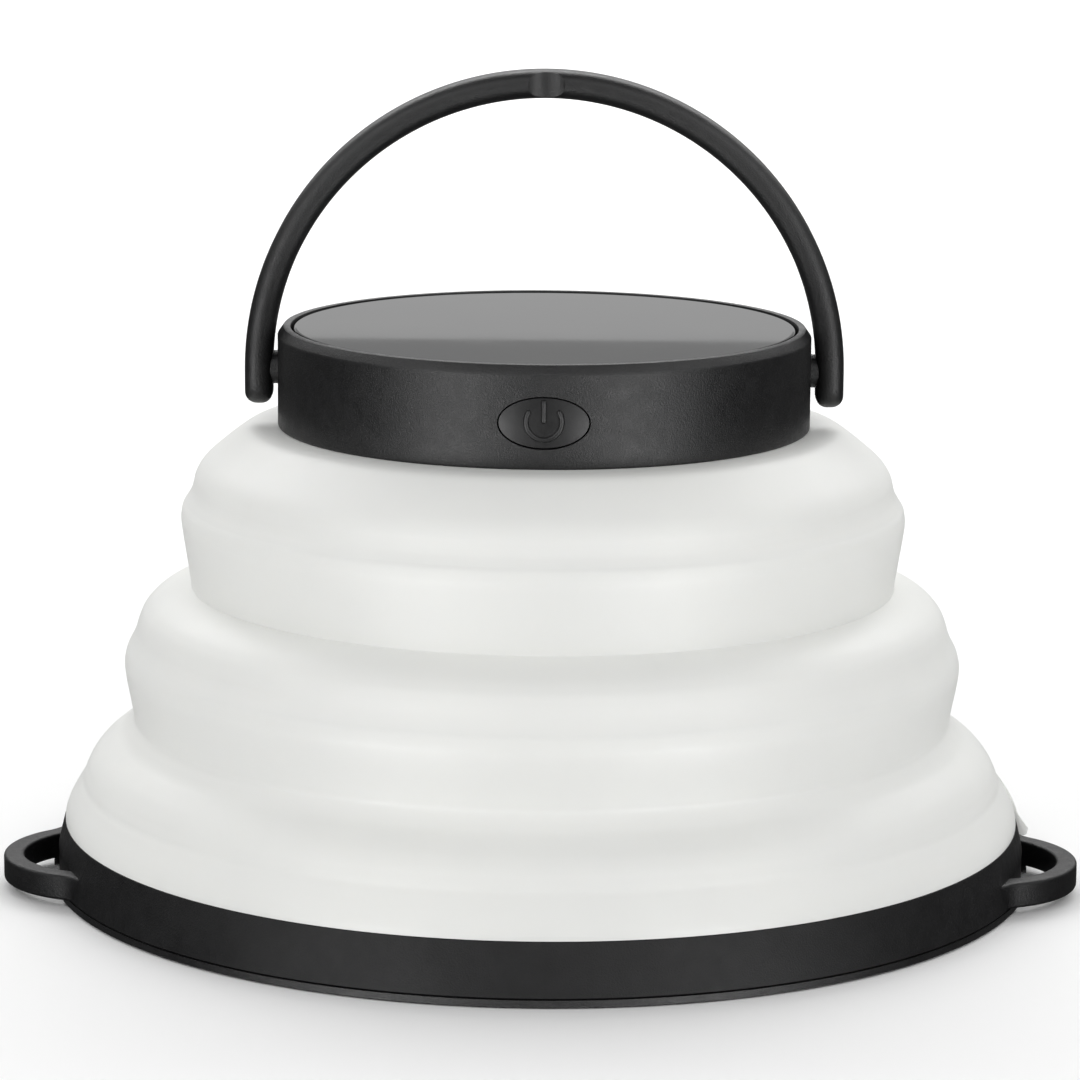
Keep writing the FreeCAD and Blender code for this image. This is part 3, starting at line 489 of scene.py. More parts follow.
FINISHES: tuple[Finish, ...] = (
    Finish("black_plastic", (0.0095, 0.0095, 0.010), (0.0055, 0.0055, 0.006), 9, Grain.SPARK,
           0.24, 0.036, (0.28, 0.44)),
    # Copy of the black plastic for the base ring, with a darker colour and a lower specular: painted
    # shade that dims the ring's lit look against the cap.
    Finish("ring_plastic_painted_shade", (0.0085, 0.0085, 0.009), (0.005, 0.005, 0.0055), 9, Grain.SPARK,
           0.24, 0.036, (0.3, 0.46), specular=0.28),
    Finish("black_rubber", (0.008, 0.008, 0.0085), (0.005, 0.005, 0.0055), 6, Grain.SATIN,
           0.22, 0.008, (0.36, 0.52), sheen=0.03),
    Finish("silicone", (0.825, 0.83, 0.805), (0.80, 0.805, 0.785), 38, Grain.SATIN,
           0.5, 0.004, (0.42, 0.58), glow=0.06, glow_reach=0.8, sheen=0.05),
    Finish("panel_cover", (0.016, 0.017, 0.018), (0.022, 0.023, 0.022), 20, Grain.SATIN,
           0.9, 0.0001, (0.015, 0.03)),
    Finish("solar_cell", (0.006, 0.008, 0.02), (0.25, 0.26, 0.27), 5, Grain.CELLS,
           13.0, 0.02, (0.2, 0.35), coat=0.6),
    Finish("gasket_rubber", (0.02, 0.02, 0.02), (0.013, 0.013, 0.013), 4, Grain.SATIN,
           0.2, 0.01, (0.6, 0.8)),
    Finish("white_plastic", (0.72, 0.72, 0.70), (0.67, 0.67, 0.65), 16, Grain.SPARK,
           0.4, 0.008, (0.38, 0.5)),
    Finish("frosted_plastic", (0.82, 0.83, 0.83), (0.76, 0.77, 0.77), 18, Grain.SATIN,
           0.3, 0.01, (0.45, 0.6), glow=0.3, glow_reach=2.0),
    Finish("steel", (0.56, 0.56, 0.57), (0.47, 0.47, 0.49), 2.5, Grain.BRUSHED,
           0.12, 0.006, (0.22, 0.42), metallic=1.0),
    Finish("nickel", (0.62, 0.60, 0.56), (0.54, 0.52, 0.49), 3.0, Grain.BRUSHED,
           0.1, 0.004, (0.18, 0.34), metallic=1.0),
    Finish("white_board", (0.78, 0.79, 0.78), (0.70, 0.71, 0.70), 9, Grain.SATIN,
           0.25, 0.004, (0.25, 0.4), coat=0.3),
    Finish("green_board", (0.012, 0.10, 0.035), (0.008, 0.065, 0.024), 4, Grain.CELLS,
           0.9, 0.02, (0.25, 0.4), coat=0.4),
    Finish("led_package", (0.75, 0.62, 0.18), (0.80, 0.74, 0.45), 1.2, Grain.SATIN,
           0.1, 0.01, (0.2, 0.35), coat=0.5),
    Finish("chip_black", (0.018, 0.018, 0.019), (0.011, 0.011, 0.011), 1.5, Grain.SPARK,
           0.12, 0.01, (0.5, 0.65)),
    Finish("battery_foil", (0.63, 0.64, 0.66), (0.54, 0.55, 0.57), 7, Grain.BRUSHED,
           0.5, 0.02, (0.24, 0.4), metallic=1.0),
    Finish("foam", (0.05, 0.05, 0.052), (0.03, 0.03, 0.032), 2, Grain.FOAM,
           0.5, 0.12, (0.8, 0.95)),
    Finish("wire_red", (0.42, 0.018, 0.014), (0.33, 0.012, 0.01), 3, Grain.SATIN,
           0.2, 0.01, (0.3, 0.45)),
)


class PaintShop:
    """Builds the finishes once and puts them on pieces and CAD nodes."""

    def __init__(self) -> None:
        """Builds every finish's material."""
        self.materials = {finish.slot: finish.build() for finish in FINISHES}

    def dress(self, piece: Piece, slot: str) -> None:
        """Gives a new piece one finish."""
        piece.data.materials.clear()
        piece.data.materials.append(self.materials[slot])

    def repaint(self, piece: Piece, finish: str) -> None:
        """Gives a dressed piece another finish, with its slot kept."""
        piece.data.materials[0] = self.materials[finish]

    def dress_nodes(self) -> None:
        """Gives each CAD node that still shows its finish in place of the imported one."""
        for name, node in sorted(frame["nodes"].items()):
            if node.hide_render:
                continue
            for place in node.material_slots:
                place.material = self.materials[place.material.name.split(".")[0]]
            LOG.info("CAD node %s dressed", name)


@dataclass
class SubAssembly:
    """Common ways of the lantern's sub-assemblies."""

    shop: PaintShop

    def fit(self, piece: Piece, body: str, slot: str, *nodes: str) -> Piece:
        """Dresses a finished piece and sets it on its body.

        Args:
            piece: The finished mesh.
            body: The CAD body that it rides on.
            slot: The record's material slot.
            nodes: CAD nodes that it stands for.
        Returns:
            The same piece.
        """
        self.shop.dress(piece, slot)
        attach(piece, body)
        if nodes:
            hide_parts(*nodes)
        LOG.info("piece %s on %s: %d faces", piece.name, body, len(piece.data.polygons))
        return piece


# --------------------------------------------------------------------- bellows
@dataclass
class Bellows(SubAssembly):
    """Silicone bellows in three lengths, which meet in the notches under the tiers.

    Each line runs upwards.  Its points are offsets from the widest radius of its
    tier and from the height of the crease below that tier.
    """

    wall: float = 1.35
    drop: float = 1.6
    smooth_steps: int = 4
    flange_in: float = 8.1
    neck_in: float = 8.4
    foot_gap: float = 0.2
    end_gap: float = 0.3
    # The lower tier's are offsets from the ring's top edge.
    lower_side: tuple[Point, ...] = (
        (0.0, 0.0), (-0.03, 0.7), (-0.22, 1.5), (-0.6, 2.45), (-1.1, 3.4), (-1.7, 4.4),
        (-2.3, 5.4), (-2.8, 6.2), (-3.1, 7.1), (-3.5, 8.0), (-3.95, 8.9), (-4.6, 9.85),
        (-5.4, 10.8), (-6.4, 11.7), (-7.55, 12.6), (-8.8, 13.5), (-9.85, 14.6))
    middle_foot: tuple[Point, ...] = (
        (-1.38, -0.1), (-1.32, 0.9), (-1.12, 2.1), (-0.76, 4.0), (-0.37, 6.0), (-0.08, 7.9),
        (-0.02, 8.9), (-0.16, 9.85), (-0.42, 10.75), (-0.66, 11.3))
    middle_side: tuple[Point, ...] = (
        (-0.66, 11.3), (-0.94, 11.8), (-1.42, 12.75), (-1.8, 13.7), (-2.1, 14.75),
        (-2.4, 15.65), (-2.9, 16.75), (-3.55, 17.6), (-4.4, 18.45), (-5.5, 19.2),
        (-6.9, 19.9), (-8.5, 20.5), (-10.1, 20.95))
    top_foot: tuple[Point, ...] = (
        (-1.5, 0.0), (-1.42, 0.9), (-1.2, 2.3), (-0.75, 5.2), (-0.3, 8.0), (-0.04, 9.9),
        (-0.0, 10.7), (-0.08, 11.5), (-0.3, 12.4), (-0.72, 13.05))
    top_side: tuple[Point, ...] = (
        (-0.72, 13.05), (-1.05, 13.6), (-1.5, 14.4), (-1.8, 15.2), (-2.02, 16.1),
        (-2.3, 17.2), (-3.0, 18.5), (-4.1, 19.75), (-6.4, 21.7), (-8.6, 23.4))
    # The neck's are offsets from the cap's foot.
    neck: tuple[Point, ...] = ((4.9, -0.5), (3.3, -0.12), (1.5, -0.02), (-1.0, 0.0))

    def _shell(self, name: str, outer: Line, inner: Line) -> Piece:
        """Turns a wall from its outer line, upwards, and its inner line, upwards."""
        piece = turned(name, outer + inner[::-1], closed=True)
        return soften(piece, 50)

    def _inner(self, outer: Line) -> Line:
        """Inner line, the wall's thickness inside an outer line."""
        return [(radius - self.wall, height - self.drop) for radius, height in outer]

    def _bend(self, piece: Piece, bodies: tuple[str, str], fold: str, *nodes: str) -> None:
        """Dresses a length, bakes its place into its mesh and lets it stand for CAD nodes."""
        self.shop.dress(piece, "silicone")
        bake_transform(piece)
        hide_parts(*nodes)
        LOG.info("piece %s between %s: %d faces", piece.name, bodies, len(piece.data.polygons))

    def build(self) -> None:
        """Makes the three lengths from the foot up."""
        ring_z = high("base_ring").z
        ring_r = high("base_plate").x - RING_DRAFT
        middle_r, middle_z = high("bellows_middle_tier").x, low("bellows_middle_tier").z
        top_r, top_z = high("bellows_top_tier").x, low("bellows_top_tier").z
        cap_r, cap_z = high("cap_housing").x, low("cap_housing").z

        lower = flowing(placed(ring_r, ring_z, self.lower_side)
                        + placed(middle_r, middle_z, self.middle_foot), self.smooth_steps)
        middle = flowing(placed(middle_r, middle_z, self.middle_side)
                         + placed(top_r, top_z, self.top_foot), self.smooth_steps)
        upper = flowing(placed(top_r, top_z, self.top_side)
                        + placed(cap_r, cap_z, self.neck), self.smooth_steps)

        foot_in = ring_r - self.flange_in
        inner = [p for p in self._inner(lower) if p[1] > ring_z + self.drop]
        foot = [(foot_in, ring_z), (foot_in, ring_z + self.drop),
                (ring_r - self.wall - self.foot_gap, ring_z + self.drop)]
        self._bend(self._shell("bellows_lower", lower, foot + self._closed_top(inner, lower)),
                   ("base", "middle_tier"), "bellows_lower_fold",
                   "bellows_lower_tier", "bellows_lower_fold")
        self._bend(self._shell("bellows_middle", middle, self._closed_both(middle)),
                   ("middle_tier", "top_tier"), "bellows_middle_fold",
                   "bellows_middle_tier", "bellows_middle_fold")
        neck_r = cap_r - self.neck_in
        under = [p for p in self._closed_both(upper) if p[0] > cap_r - self.wall]
        under += [(cap_r - self.wall, cap_z - self.drop), (neck_r, cap_z - self.drop),
                  (neck_r, cap_z)]
        self._bend(self._shell("bellows_upper", upper, under),
                   ("top_tier", "cap"), "bellows_upper_fold",
                   "bellows_top_tier", "bellows_upper_fold", "bellows_neck")

    def _closed_top(self, inner: Line, outer: Line) -> Line:
        """Carries an inner line up to the level where its outer line ends."""
        radius, height = outer[-1]
        return inner + [(radius - self.wall, height)]

    def _closed_both(self, outer: Line) -> Line:
        """Inner line between the levels where its outer line starts and ends."""
        start, end = outer[0], outer[-1]
        inside = [p for p in self._inner(outer)
                  if start[1] + self.end_gap < p[1] < end[1] - self.end_gap]
        return [(start[0] - self.wall, start[1])] + inside + [(end[0] - self.wall, end[1])]


@dataclass
class PullTab(SubAssembly):
    """Silicone tongue that laps over the ring's edge behind the right lug."""

    # Its outer side, downwards: offsets from the ring's top edge.
    back: tuple[Point, ...] = (
        (-3.4, 6.0), (-2.3, 5.35), (-1.45, 4.3), (-0.6, 3.05), (0.25, 1.6), (1.0, 0.0), (1.65, -1.7))
    # Its toe: offsets from the outer corner of its tip.
    toe: tuple[Point, ...] = ((-0.25, 1.1), (-0.4, 0.3), (-0.8, 0.0))
    root_in: float = 3.4
    fall: float = 5.1
    gap: float = 0.12
    thick: float = 2.1
    start_deg: float = 3.8
    span_deg: float = 8.4
    edge: float = 0.22
    steps: int = 14

    def build(self) -> None:
        """Turns the tongue's section through its short arc and rounds it."""
        ring_z = high("base_ring").z
        ring_r = high("base_plate").x - RING_DRAFT
        slope = RING_DRAFT / (ring_z - low("base_ring").z)
        tip_z = ring_z - self.fall
        tip_r = ring_r + slope * self.fall + self.gap
        line = placed(ring_r, ring_z, self.back) + placed(tip_r + self.thick, tip_z, self.toe)
        line += [(tip_r, tip_z), (ring_r + self.gap, ring_z + self.gap),
                 (ring_r - self.root_in, ring_z + self.gap)]
        piece = swept("pull_tab", line, math.radians(self.start_deg),
                      -math.radians(self.span_deg), self.steps)
        rounded_edges(piece, self.edge, 3, 50)
        self.fit(soften(piece, 45), "base", "silicone")


# ------------------------------------------------------------------------ base
@dataclass
class Base(SubAssembly):
    """Base ring with its lashing lugs, and the rubber feet."""

    flange: float = 8.1
    flange_high: float = 4.0
    wall: float = 2.4
    foot_chamfer: float = 0.3
    edge_round: float = 0.28
    edge_proud: float = 0.12
    support: float = 0.25
    parting_in: float = 0.05
    lug_radius: float = 16.3
    lug_strand: float = 3.2
    lug_inset: float = 6.5
    lug_high: float = 4.0
    lug_blend: float = 7.0
    lug_edge: float = 1.45
    lug_root: float = 2.2
    eye_clear: float = 0.4
    eye_past_deg: float = 24.0
    eye_pinch: float = 0.97
    lug_forward: float = 10.0
    foot_radius: float = 5.0
    foot_edge: float = 0.35
    foot_tread: tuple[Point, ...] = (
        (0.0, 0.0), (3.2, 0.0), (3.4, 0.25), (3.7, 0.25), (3.9, 0.0), (4.65, 0.0), (4.9, 0.1))

    def _wall_radius(self, height: float) -> float:
        """Outer radius of the ring's drafted wall at a height."""
        top, bottom = high("base_ring").z, low("base_ring").z
        return high("base_plate").x - RING_DRAFT * (height - bottom) / (top - bottom)

    def _ring(self) -> Piece:
        """Turns the ring's section, with a rounded top edge and a parting chamfer."""
        top, bottom = high("base_ring").z, low("base_ring").z
        radius, foot_r = self._wall_radius(top), self._wall_radius(bottom)
        inner, shelf, ledge = radius - self.wall, radius - self.flange, top - self.flange_high
        edge, proud = self.edge_round, self.edge_proud
        near_foot = bottom + self.foot_chamfer + self.support
        near_crown = top - edge - self.support
        line = [(inner, bottom), (foot_r - self.foot_chamfer, bottom),
                (foot_r - self.parting_in, bottom + self.foot_chamfer),
                (self._wall_radius(near_foot), near_foot),
                (self._wall_radius(near_crown) + proud, near_crown)]
        # The edge stands a little outside the silicone that sits on it.
        line += arc((radius + proud - edge, top - edge), edge, 0, 90, 4)
        line += [(shelf, top), (shelf, ledge), (inner, ledge)]
        return turned("base_ring_body", line, steps=ROUND_STEPS)

    def _lug_place(self, side: int) -> Matrix:
        """Turn that carries a lug from the X axis to its side."""
        return turn(-self.lug_forward if side > 0 else 180 + self.lug_forward, "Z")

    def _lug(self, side: int) -> Piece:
        """Makes one lug: a flat loop with rounded edges that flares into the ring.

        Args:
            side: 1 for the right lug, -1 for the left.
        Returns:
            The lug's closed shell, its ends inside the ring's wall.
        """
        bottom = low("base_ring").z
        ring_r = self._wall_radius(bottom + self.lug_high)
        centre = self._wall_radius(high("base_ring").z) - self.lug_inset
        x, y, ring_deg, lug_deg = crossing(ring_r + self.lug_blend,
                                           self.lug_radius + self.lug_blend, centre)
        root = ring_r - self.lug_root
        blend = arc((x, y), self.lug_blend, 180 + ring_deg, 180 + lug_deg, 10)
        outer = [(root * math.cos(math.radians(ring_deg)), root * math.sin(math.radians(ring_deg)))]
        outer += blend + arc((centre, 0), self.lug_radius, lug_deg, -lug_deg, 44)[1:-1]
        outer += [(x, -y) for x, y in blend[::-1]] + [(outer[0][0], -outer[0][1])]
        eye = arc((centre, 0), self.lug_radius - self.lug_strand,
                  -lug_deg - self.eye_past_deg, lug_deg + self.eye_past_deg, 44)
        start = (root + self.eye_clear, eye[0][1] * self.eye_pinch)
        eye = [p for p in eye if p[0] > start[0]]
        plan = outer + [start] + eye + [(start[0], -start[1])]
        lug = raised("lug", plan, bottom, bottom + self.lug_high)
        rounded_edges(lug, self.lug_edge, 6, 60)
        return laid(lug, self._lug_place(side))

    def _foot_relief(self, side: int) -> Piece:
        """Cutter that trims the ring's drafted foot to an upright wall inside an eye."""
        bottom = low("base_ring").z
        wall = self._wall_radius(bottom + self.lug_high)
        centre = self._wall_radius(high("base_ring").z) - self.lug_inset
        eye_r = self.lug_radius - self.lug_strand
        _, _, wall_deg, eye_deg = crossing(wall, eye_r, centre)
        plan = arc((0, 0), wall, -wall_deg, wall_deg, 16)
        plan += arc((centre, 0), eye_r, eye_deg, -eye_deg, 40)[1:-1]
        cutter = raised("relief", plan, bottom - CUT_PAST, bottom + self.lug_high)
        return laid(cutter, self._lug_place(side))

    def _feet(self) -> Piece:
        """Turns one rubber foot and copies it to the four pads."""
        outer, height = high("rubber_feet"), high("rubber_feet").z
        reach = (outer.x - self.foot_radius) * math.sqrt(2)
        line = [*self.foot_tread, (self.foot_radius, self.foot_edge),
                (self.foot_radius, height), (0.0, height)]
        first = turned("rubber_feet_set", line, closed=False, steps=48)
        laid(first, shift(reach, 0, 0))
        laid(first, turn(45, "Z"))
        for quarter in (1, 2, 3):
            copy = first.copy()
            copy.data = first.data.copy()
            bpy.context.collection.objects.link(copy)
            laid(copy, turn(90 * quarter, "Z"))
            copy.select_set(True)
            first.select_set(True)
        bpy.context.view_layer.objects.active = first
        bpy.ops.object.join()
        return first

    def build(self) -> None:
        """Makes the ring, joins the lugs to it and sets the feet."""
        ring = self._ring()
        for side in (1, -1):
            joined_by(ring, self._lug(side), "UNION")
            joined_by(ring, self._foot_relief(side), "DIFFERENCE")
        self.fit(soften(ring, 35), "base", "black_plastic", "base_ring")
        # The ring takes the darker copy of the black plastic: painted shade.
        self.shop.repaint(ring, "ring_plastic_painted_shade")
        self.fit(soften(self._feet(), 40), "base", "black_rubber", "rubber_feet")


# ------------------------------------------------------------------------- cap
@dataclass
class Cap(SubAssembly):
    """Cap housing with its openings, and the solar panel's cover."""

    wall: float = 2.0
    # The rim's chamfer, downwards: offsets from the drum's side and top.
    rim: tuple[Point, ...] = (
        (-1.14, 0.0), (-0.9, -0.06), (-0.1, -1.18), (0.0, -1.4), (0.0, -1.65))
    seat_depth: float = 2.8
    top_thick: float = 1.5
    foot_round: float = 0.3
    foot_support: float = 0.25
    groove_round: float = 0.15
    button_wide: float = 13.8
    button_high: float = 7.9
    button_rise: float = 6.95
    socket_radius: float = 2.67
    socket_deep: float = 12.0
    socket_in: float = 8.0
    mouth_wide: float = 9.6
    mouth_high: float = 3.8
    flap_thick: float = 0.8
    flap_under: float = 0.1
    flap_gap: float = 0.35
    cover_round: float = 0.35
    cover_support: float = 0.5
    reach_out: float = 2.0
    reach_in: float = 5.0
    steps: int = 256

    def _housing(self) -> Piece:
        """Turns the drum with its rim, groove, seat and hollow inside."""
        radius, top, foot = high("cap_housing").x, high("cap_housing").z, low("cap_housing").z
        inner = radius - self.wall
        seat, ceiling = top - self.seat_depth, top - self.seat_depth - self.top_thick
        groove = self.groove_round
        line = [(0.0, seat), (inner, seat)]
        line += arc((inner + groove, top - groove), groove, 180, 90, 3)
        line += placed(radius, top, self.rim)
        line += [(radius, foot + self.foot_round + self.foot_support)]
        line += arc((radius - self.foot_round, foot + self.foot_round), self.foot_round, 0, -90, 4)
        line += [(inner, foot), (inner, ceiling), (0.0, ceiling)]
        return turned("cap_drum", line, closed=False, steps=self.steps)

    def _oval(self, wide: float, tall: float, height: float, near: float, far: float) -> Piece:
        """Elliptical bar along Y."""
        bar = raised("oval", oval(wide, tall), -far, -near)
        laid(bar, turn(90, "X"))
        return laid(bar, shift(0, 0, height))

    def _socket(self, side: int) -> Piece:
        """Cutter for one handle socket."""
        start = high("handle").x - self.socket_in
        bar = rod("socket", self.socket_radius, 0.0, self.socket_deep, 48)
        laid(bar, turn(90 * side, "Y"))
        return laid(bar, shift(side * start, 0, joint_place("handle_hinge").z))

    def _flap_seat(self) -> Piece:
        """Cutter for the shallow recess that the socket's flap lies in."""
        deep = high("usb_flap").y - self.flap_thick - self.flap_under
        bottom, top = low("usb_flap").z - self.flap_gap, high("usb_flap").z + self.flap_gap
        outer = high("cap_housing").x + self.reach_out
        spread = math.degrees(math.asin((high("usb_flap").x + self.flap_gap) / deep))
        plan = arc((0, 0), outer, 90 - spread, 90 + spread, 24)
        plan += arc((0, 0), deep, 90 + spread, 90 - spread, 24)
        return raised("flap_seat", plan, bottom, top)

    def build(self) -> None:
        """Makes the housing with its openings, and the panel's cover."""
        drum = self._housing()
        foot, radius = low("cap_housing").z, high("cap_housing").x
        out, inside = radius + self.reach_out, radius - self.reach_in
        mouth_z = (low("usb_connector").z + high("usb_connector").z) / 2
        cutters = ((self._oval, (self.button_wide, self.button_high, foot + self.button_rise,
                                 -out, -inside)),
                   (self._socket, (1,)), (self._socket, (-1,)), (self._flap_seat, ()),
                   (self._oval, (self.mouth_wide, self.mouth_high, mouth_z, inside, out)))
        for cutter, sizes in cutters:
            joined_by(drum, cutter(*sizes), "DIFFERENCE")
        self.fit(soften(drum, 30), "cap", "black_plastic", "cap_housing")
        outer, base, face = high("panel_lens").x, low("panel_lens").z, high("panel_lens").z
        bend = self.cover_round
        line = [(0.0, base), (outer, base)] + arc((outer - bend, face - bend), bend, 0, 90, 4)
        line += [(outer - self.cover_support, face), (0.0, face)]
        cover = turned("panel_cover_sheet", line, closed=False, steps=self.steps)
        self.fit(soften(cover, 50), "cap", "panel_cover", "panel_lens")


# ---------------------------------------------------------------------- handle
@dataclass
class Handle(SubAssembly):
    """Bail with rounded legs, a thumb scoop at the crown and a stub axle on each leg."""

    thick: float = 4.3
    corner: float = 1.95
    leg: float = 5.7
    stub_radius: float = 2.6
    stub_reach: float = 3.5
    scoop_wide: float = 5.6
    scoop_deep: float = 1.0
    scoop_span: Point = (-6.0, 3.0)
    stub_chamfer: float = 0.3
    end_lean_deg: float = 86.0
    end_least: float = 0.12
    corner_steps: int = 7
    arch_steps: int = 112
    end_steps: int = 9

    def _section(self, outer: float, half: float, height: float) -> list[Vector]:
        """Rounded section of the bail at its right pivot."""
        inner = outer - self.thick
        c = self.corner
        corners = ((outer - c, half - c, 0), (inner + c, half - c, 90),
                   (inner + c, c - half, 180), (outer - c, c - half, 270))
        loop: Line = []
        for x, y, start in corners:
            loop += arc((x, y), c, start, start + 90, self.corner_steps)
        return [Vector((x, y, height)) for x, y in loop]

    def _round_leg(self, piece: Piece, side: int, middle: float, half: float, pivot: float) -> None:
        """Extrudes one leg down from the arch and rounds its end.

        Args:
            piece: The bail, in edit mode.
            side: 1 for the right leg, -1 for the left.
            middle: Radius of the leg's centre line.
            half: Half of the bail's width.
            pivot: Height of the pivot axis.
        """
        round_z = pivot - self.leg + half
        rings = [(round_z, 1.0, 1.0)]
        for step in range(1, self.end_steps + 1):
            lean = math.radians(self.end_lean_deg * step / self.end_steps)
            below = half * math.sin(lean)
            past = max(0.0, below - (half - self.corner))
            flat = self.thick / 2 - self.corner
            wide = (flat + math.sqrt(max(0.0, self.corner ** 2 - past ** 2))) / (self.thick / 2)
            rings.append((round_z - below, max(wide, self.end_least), math.cos(lean)))
        bpy.ops.mesh.select_all(action="DESELECT")
        shape = bmesh.from_edit_mesh(piece.data)
        for vertex in shape.verts:
            vertex.select = abs(vertex.co.z - pivot * MM) < WELD * 10 and vertex.co.x * side > 0
        shape.select_flush(True)
        bmesh.update_edit_mesh(piece.data)
        before = (pivot, 1.0, 1.0)
        for ring in rings:
            drop = Vector((0, 0, ring[0] - before[0])) * MM
            bpy.ops.mesh.extrude_region_move(TRANSFORM_OT_translate={"value": drop})
            shrink = (ring[1] / before[1], ring[2] / before[2], 1)
            bpy.ops.transform.resize(
                value=shrink, center_override=(side * middle * MM, 0, ring[0] * MM))
            before = ring
        bpy.ops.mesh.edge_face_add()

    def _scoop(self, face: int, half: float, crown: float) -> Piece:
        """Round cutter for the scoop in one face of the crown."""
        radius = (self.scoop_wide ** 2 / 4 + self.scoop_deep ** 2) / (2 * self.scoop_deep)
        foot, top = self.scoop_span
        bar = rod("scoop", radius, crown + foot, crown + top, 128)
        return laid(bar, shift(0, face * (half - self.scoop_deep + radius), 0))

    def _disc(self, name: str, side: int, line: Line, start: float, pivot: float) -> Piece:
        """Round part along X, turned from a line and set at a pivot."""
        disc = turned(name, line, closed=False, steps=64)
        laid(disc, turn(90 * side, "Y"))
        laid(disc, shift(side * start, 0, pivot))
        return close_shell(disc)

    def build(self) -> None:
        """Spins the arch, draws down the legs, cuts the scoops and adds the stubs."""
        pivot = joint_place("handle_hinge").z
        outer = high("handle").x
        half = high("handle").y
        middle = outer - self.thick / 2
        bail = outline("bail", self._section(outer, half, pivot))
        bpy.ops.mesh.spin(steps=self.arch_steps, angle=HALF_TURN,
                          center=(0, 0, pivot * MM), axis=(0, 1, 0))
        bpy.ops.mesh.select_all(action="SELECT")
        bpy.ops.mesh.remove_doubles(threshold=WELD)
        for side in (1, -1):
            self._round_leg(bail, side, middle, half, pivot)
        close_shell(bail)
        crown = pivot + outer
        for face in (1, -1):
            joined_by(bail, self._scoop(face, half, crown), "DIFFERENCE")
        self.fit(soften(bail, 28), "handle", "black_plastic", "handle")
        length = self.thick / 2 + self.stub_reach
        stub = [(0.0, 0.0), (self.stub_radius - self.stub_chamfer, 0.0),
                (self.stub_radius, self.stub_chamfer), (self.stub_radius, length), (0.0, length)]
        for side, word in ((1, "right"), (-1, "left")):
            start = outer - self.thick - self.stub_reach
            self.fit(soften(self._disc("pivot_stub_" + word, side, stub, start, pivot), 40),
                     "handle", "black_plastic")


# ---------------------------------------------------------------- power button
@dataclass
class PowerButton(SubAssembly):
    """Oval rubber button with a raised power symbol."""

    wide: float = 13.3
    tall: float = 7.4
    rise: float = 6.95
    deep: float = 4.4
    drum_half: float = 9.0
    symbol_radius: float = 2.67
    symbol_line: float = 0.4
    symbol_proud: float = 0.34
    symbol_gap_deg: float = 50.0
    bar_top: float = 3.3
    bar_foot: float = -0.3
    symbol_rise: float = 0.17
    edge: float = 0.3
    # Places and widths over which a stroke's round end tapers.
    end_places: tuple[float, ...] = (0.0, 0.12, 0.24, 0.36)
    end_widths: tuple[float, ...] = (0.12, 0.66, 0.91, 1.0)

    def _face(self, height: float, radius: float) -> Piece:
        """Oval bar whose front follows the cap's round wall."""
        bar = raised("button_face", oval(self.wide, self.tall), radius - self.deep, radius + CUT_PAST)
        laid(bar, turn(90, "X"))
        laid(bar, shift(0, 0, height))
        drum = rod("drum", radius, height - self.drum_half, height + self.drum_half, 360)
        return joined_by(bar, drum, "INTERSECT")

    def _stroke(self, name: str, path: list[Vector]) -> Piece:
        """Rounded line of the symbol along a path, as a mesh tube with round ends."""
        curve = bpy.data.curves.new(name, "CURVE")
        curve.dimensions = "3D"
        curve.bevel_depth = self.symbol_line * MM
        curve.bevel_resolution = 4
        curve.use_fill_caps = True
        spline = curve.splines.new("POLY")
        spline.points.add(len(path) - 1)
        for spot, place in zip(spline.points, path):
            spot.co = (*(place * MM), 1)
        for step, share in enumerate(self.end_widths):
            spline.points[step].radius = share
            spline.points[-1 - step].radius = share
        holder = bpy.data.objects.new(name, curve)
        bpy.context.collection.objects.link(holder)
        take(holder)
        bpy.ops.object.convert(target="MESH")
        return bpy.context.object

    def _path_ends(self, path: list[Vector]) -> list[Vector]:
        """Adds the close points over which a stroke's round ends taper."""
        head, tail = path[0], path[-1]
        lead = (path[1] - head).normalized()
        trail = (path[-2] - tail).normalized()
        start = [head + lead * d for d in self.end_places]
        end = [tail + trail * d for d in self.end_places[::-1]]
        return start + path[2:-2] + end

    def _wrap(self, piece: Piece, radius: float) -> Piece:
        """Lays a flat symbol part on the button's curved face and flattens it."""
        for vertex in piece.data.vertices:
            across = vertex.co.x / MM
            surface = -math.sqrt(radius ** 2 - across ** 2)
            proud = vertex.co.y / MM * self.symbol_proud / self.symbol_line
            vertex.co.y = (surface + proud) * MM
        return close_shell(piece)

    def build(self) -> None:
        """Makes the button's face and its raised symbol."""
        height = low("cap_housing").z + self.rise
        radius = -low("power_button").y
        face = rounded_edges(self._face(height, radius), self.edge, 3, 60)
        self.fit(soften(face, 30), "button", "black_rubber", "power_button")
        centre = Vector((0, 0, height + self.symbol_rise))
        gap = math.radians(self.symbol_gap_deg)
        ring = []
        for step in range(61):
            angle = gap + (FULL_TURN - 2 * gap) * step / 60
            ring.append(centre + Vector((math.sin(angle), 0, math.cos(angle))) * self.symbol_radius)
        bar = [centre + Vector((0, 0, self.bar_foot + (self.bar_top - self.bar_foot) * i / 12))
               for i in range(13)]
        for name, path in (("symbol_ring", ring), ("symbol_bar", bar)):
            stroke = self._wrap(self._stroke(name, self._path_ends(path)), radius)
            self.fit(soften(stroke, 60), "button", "black_rubber")


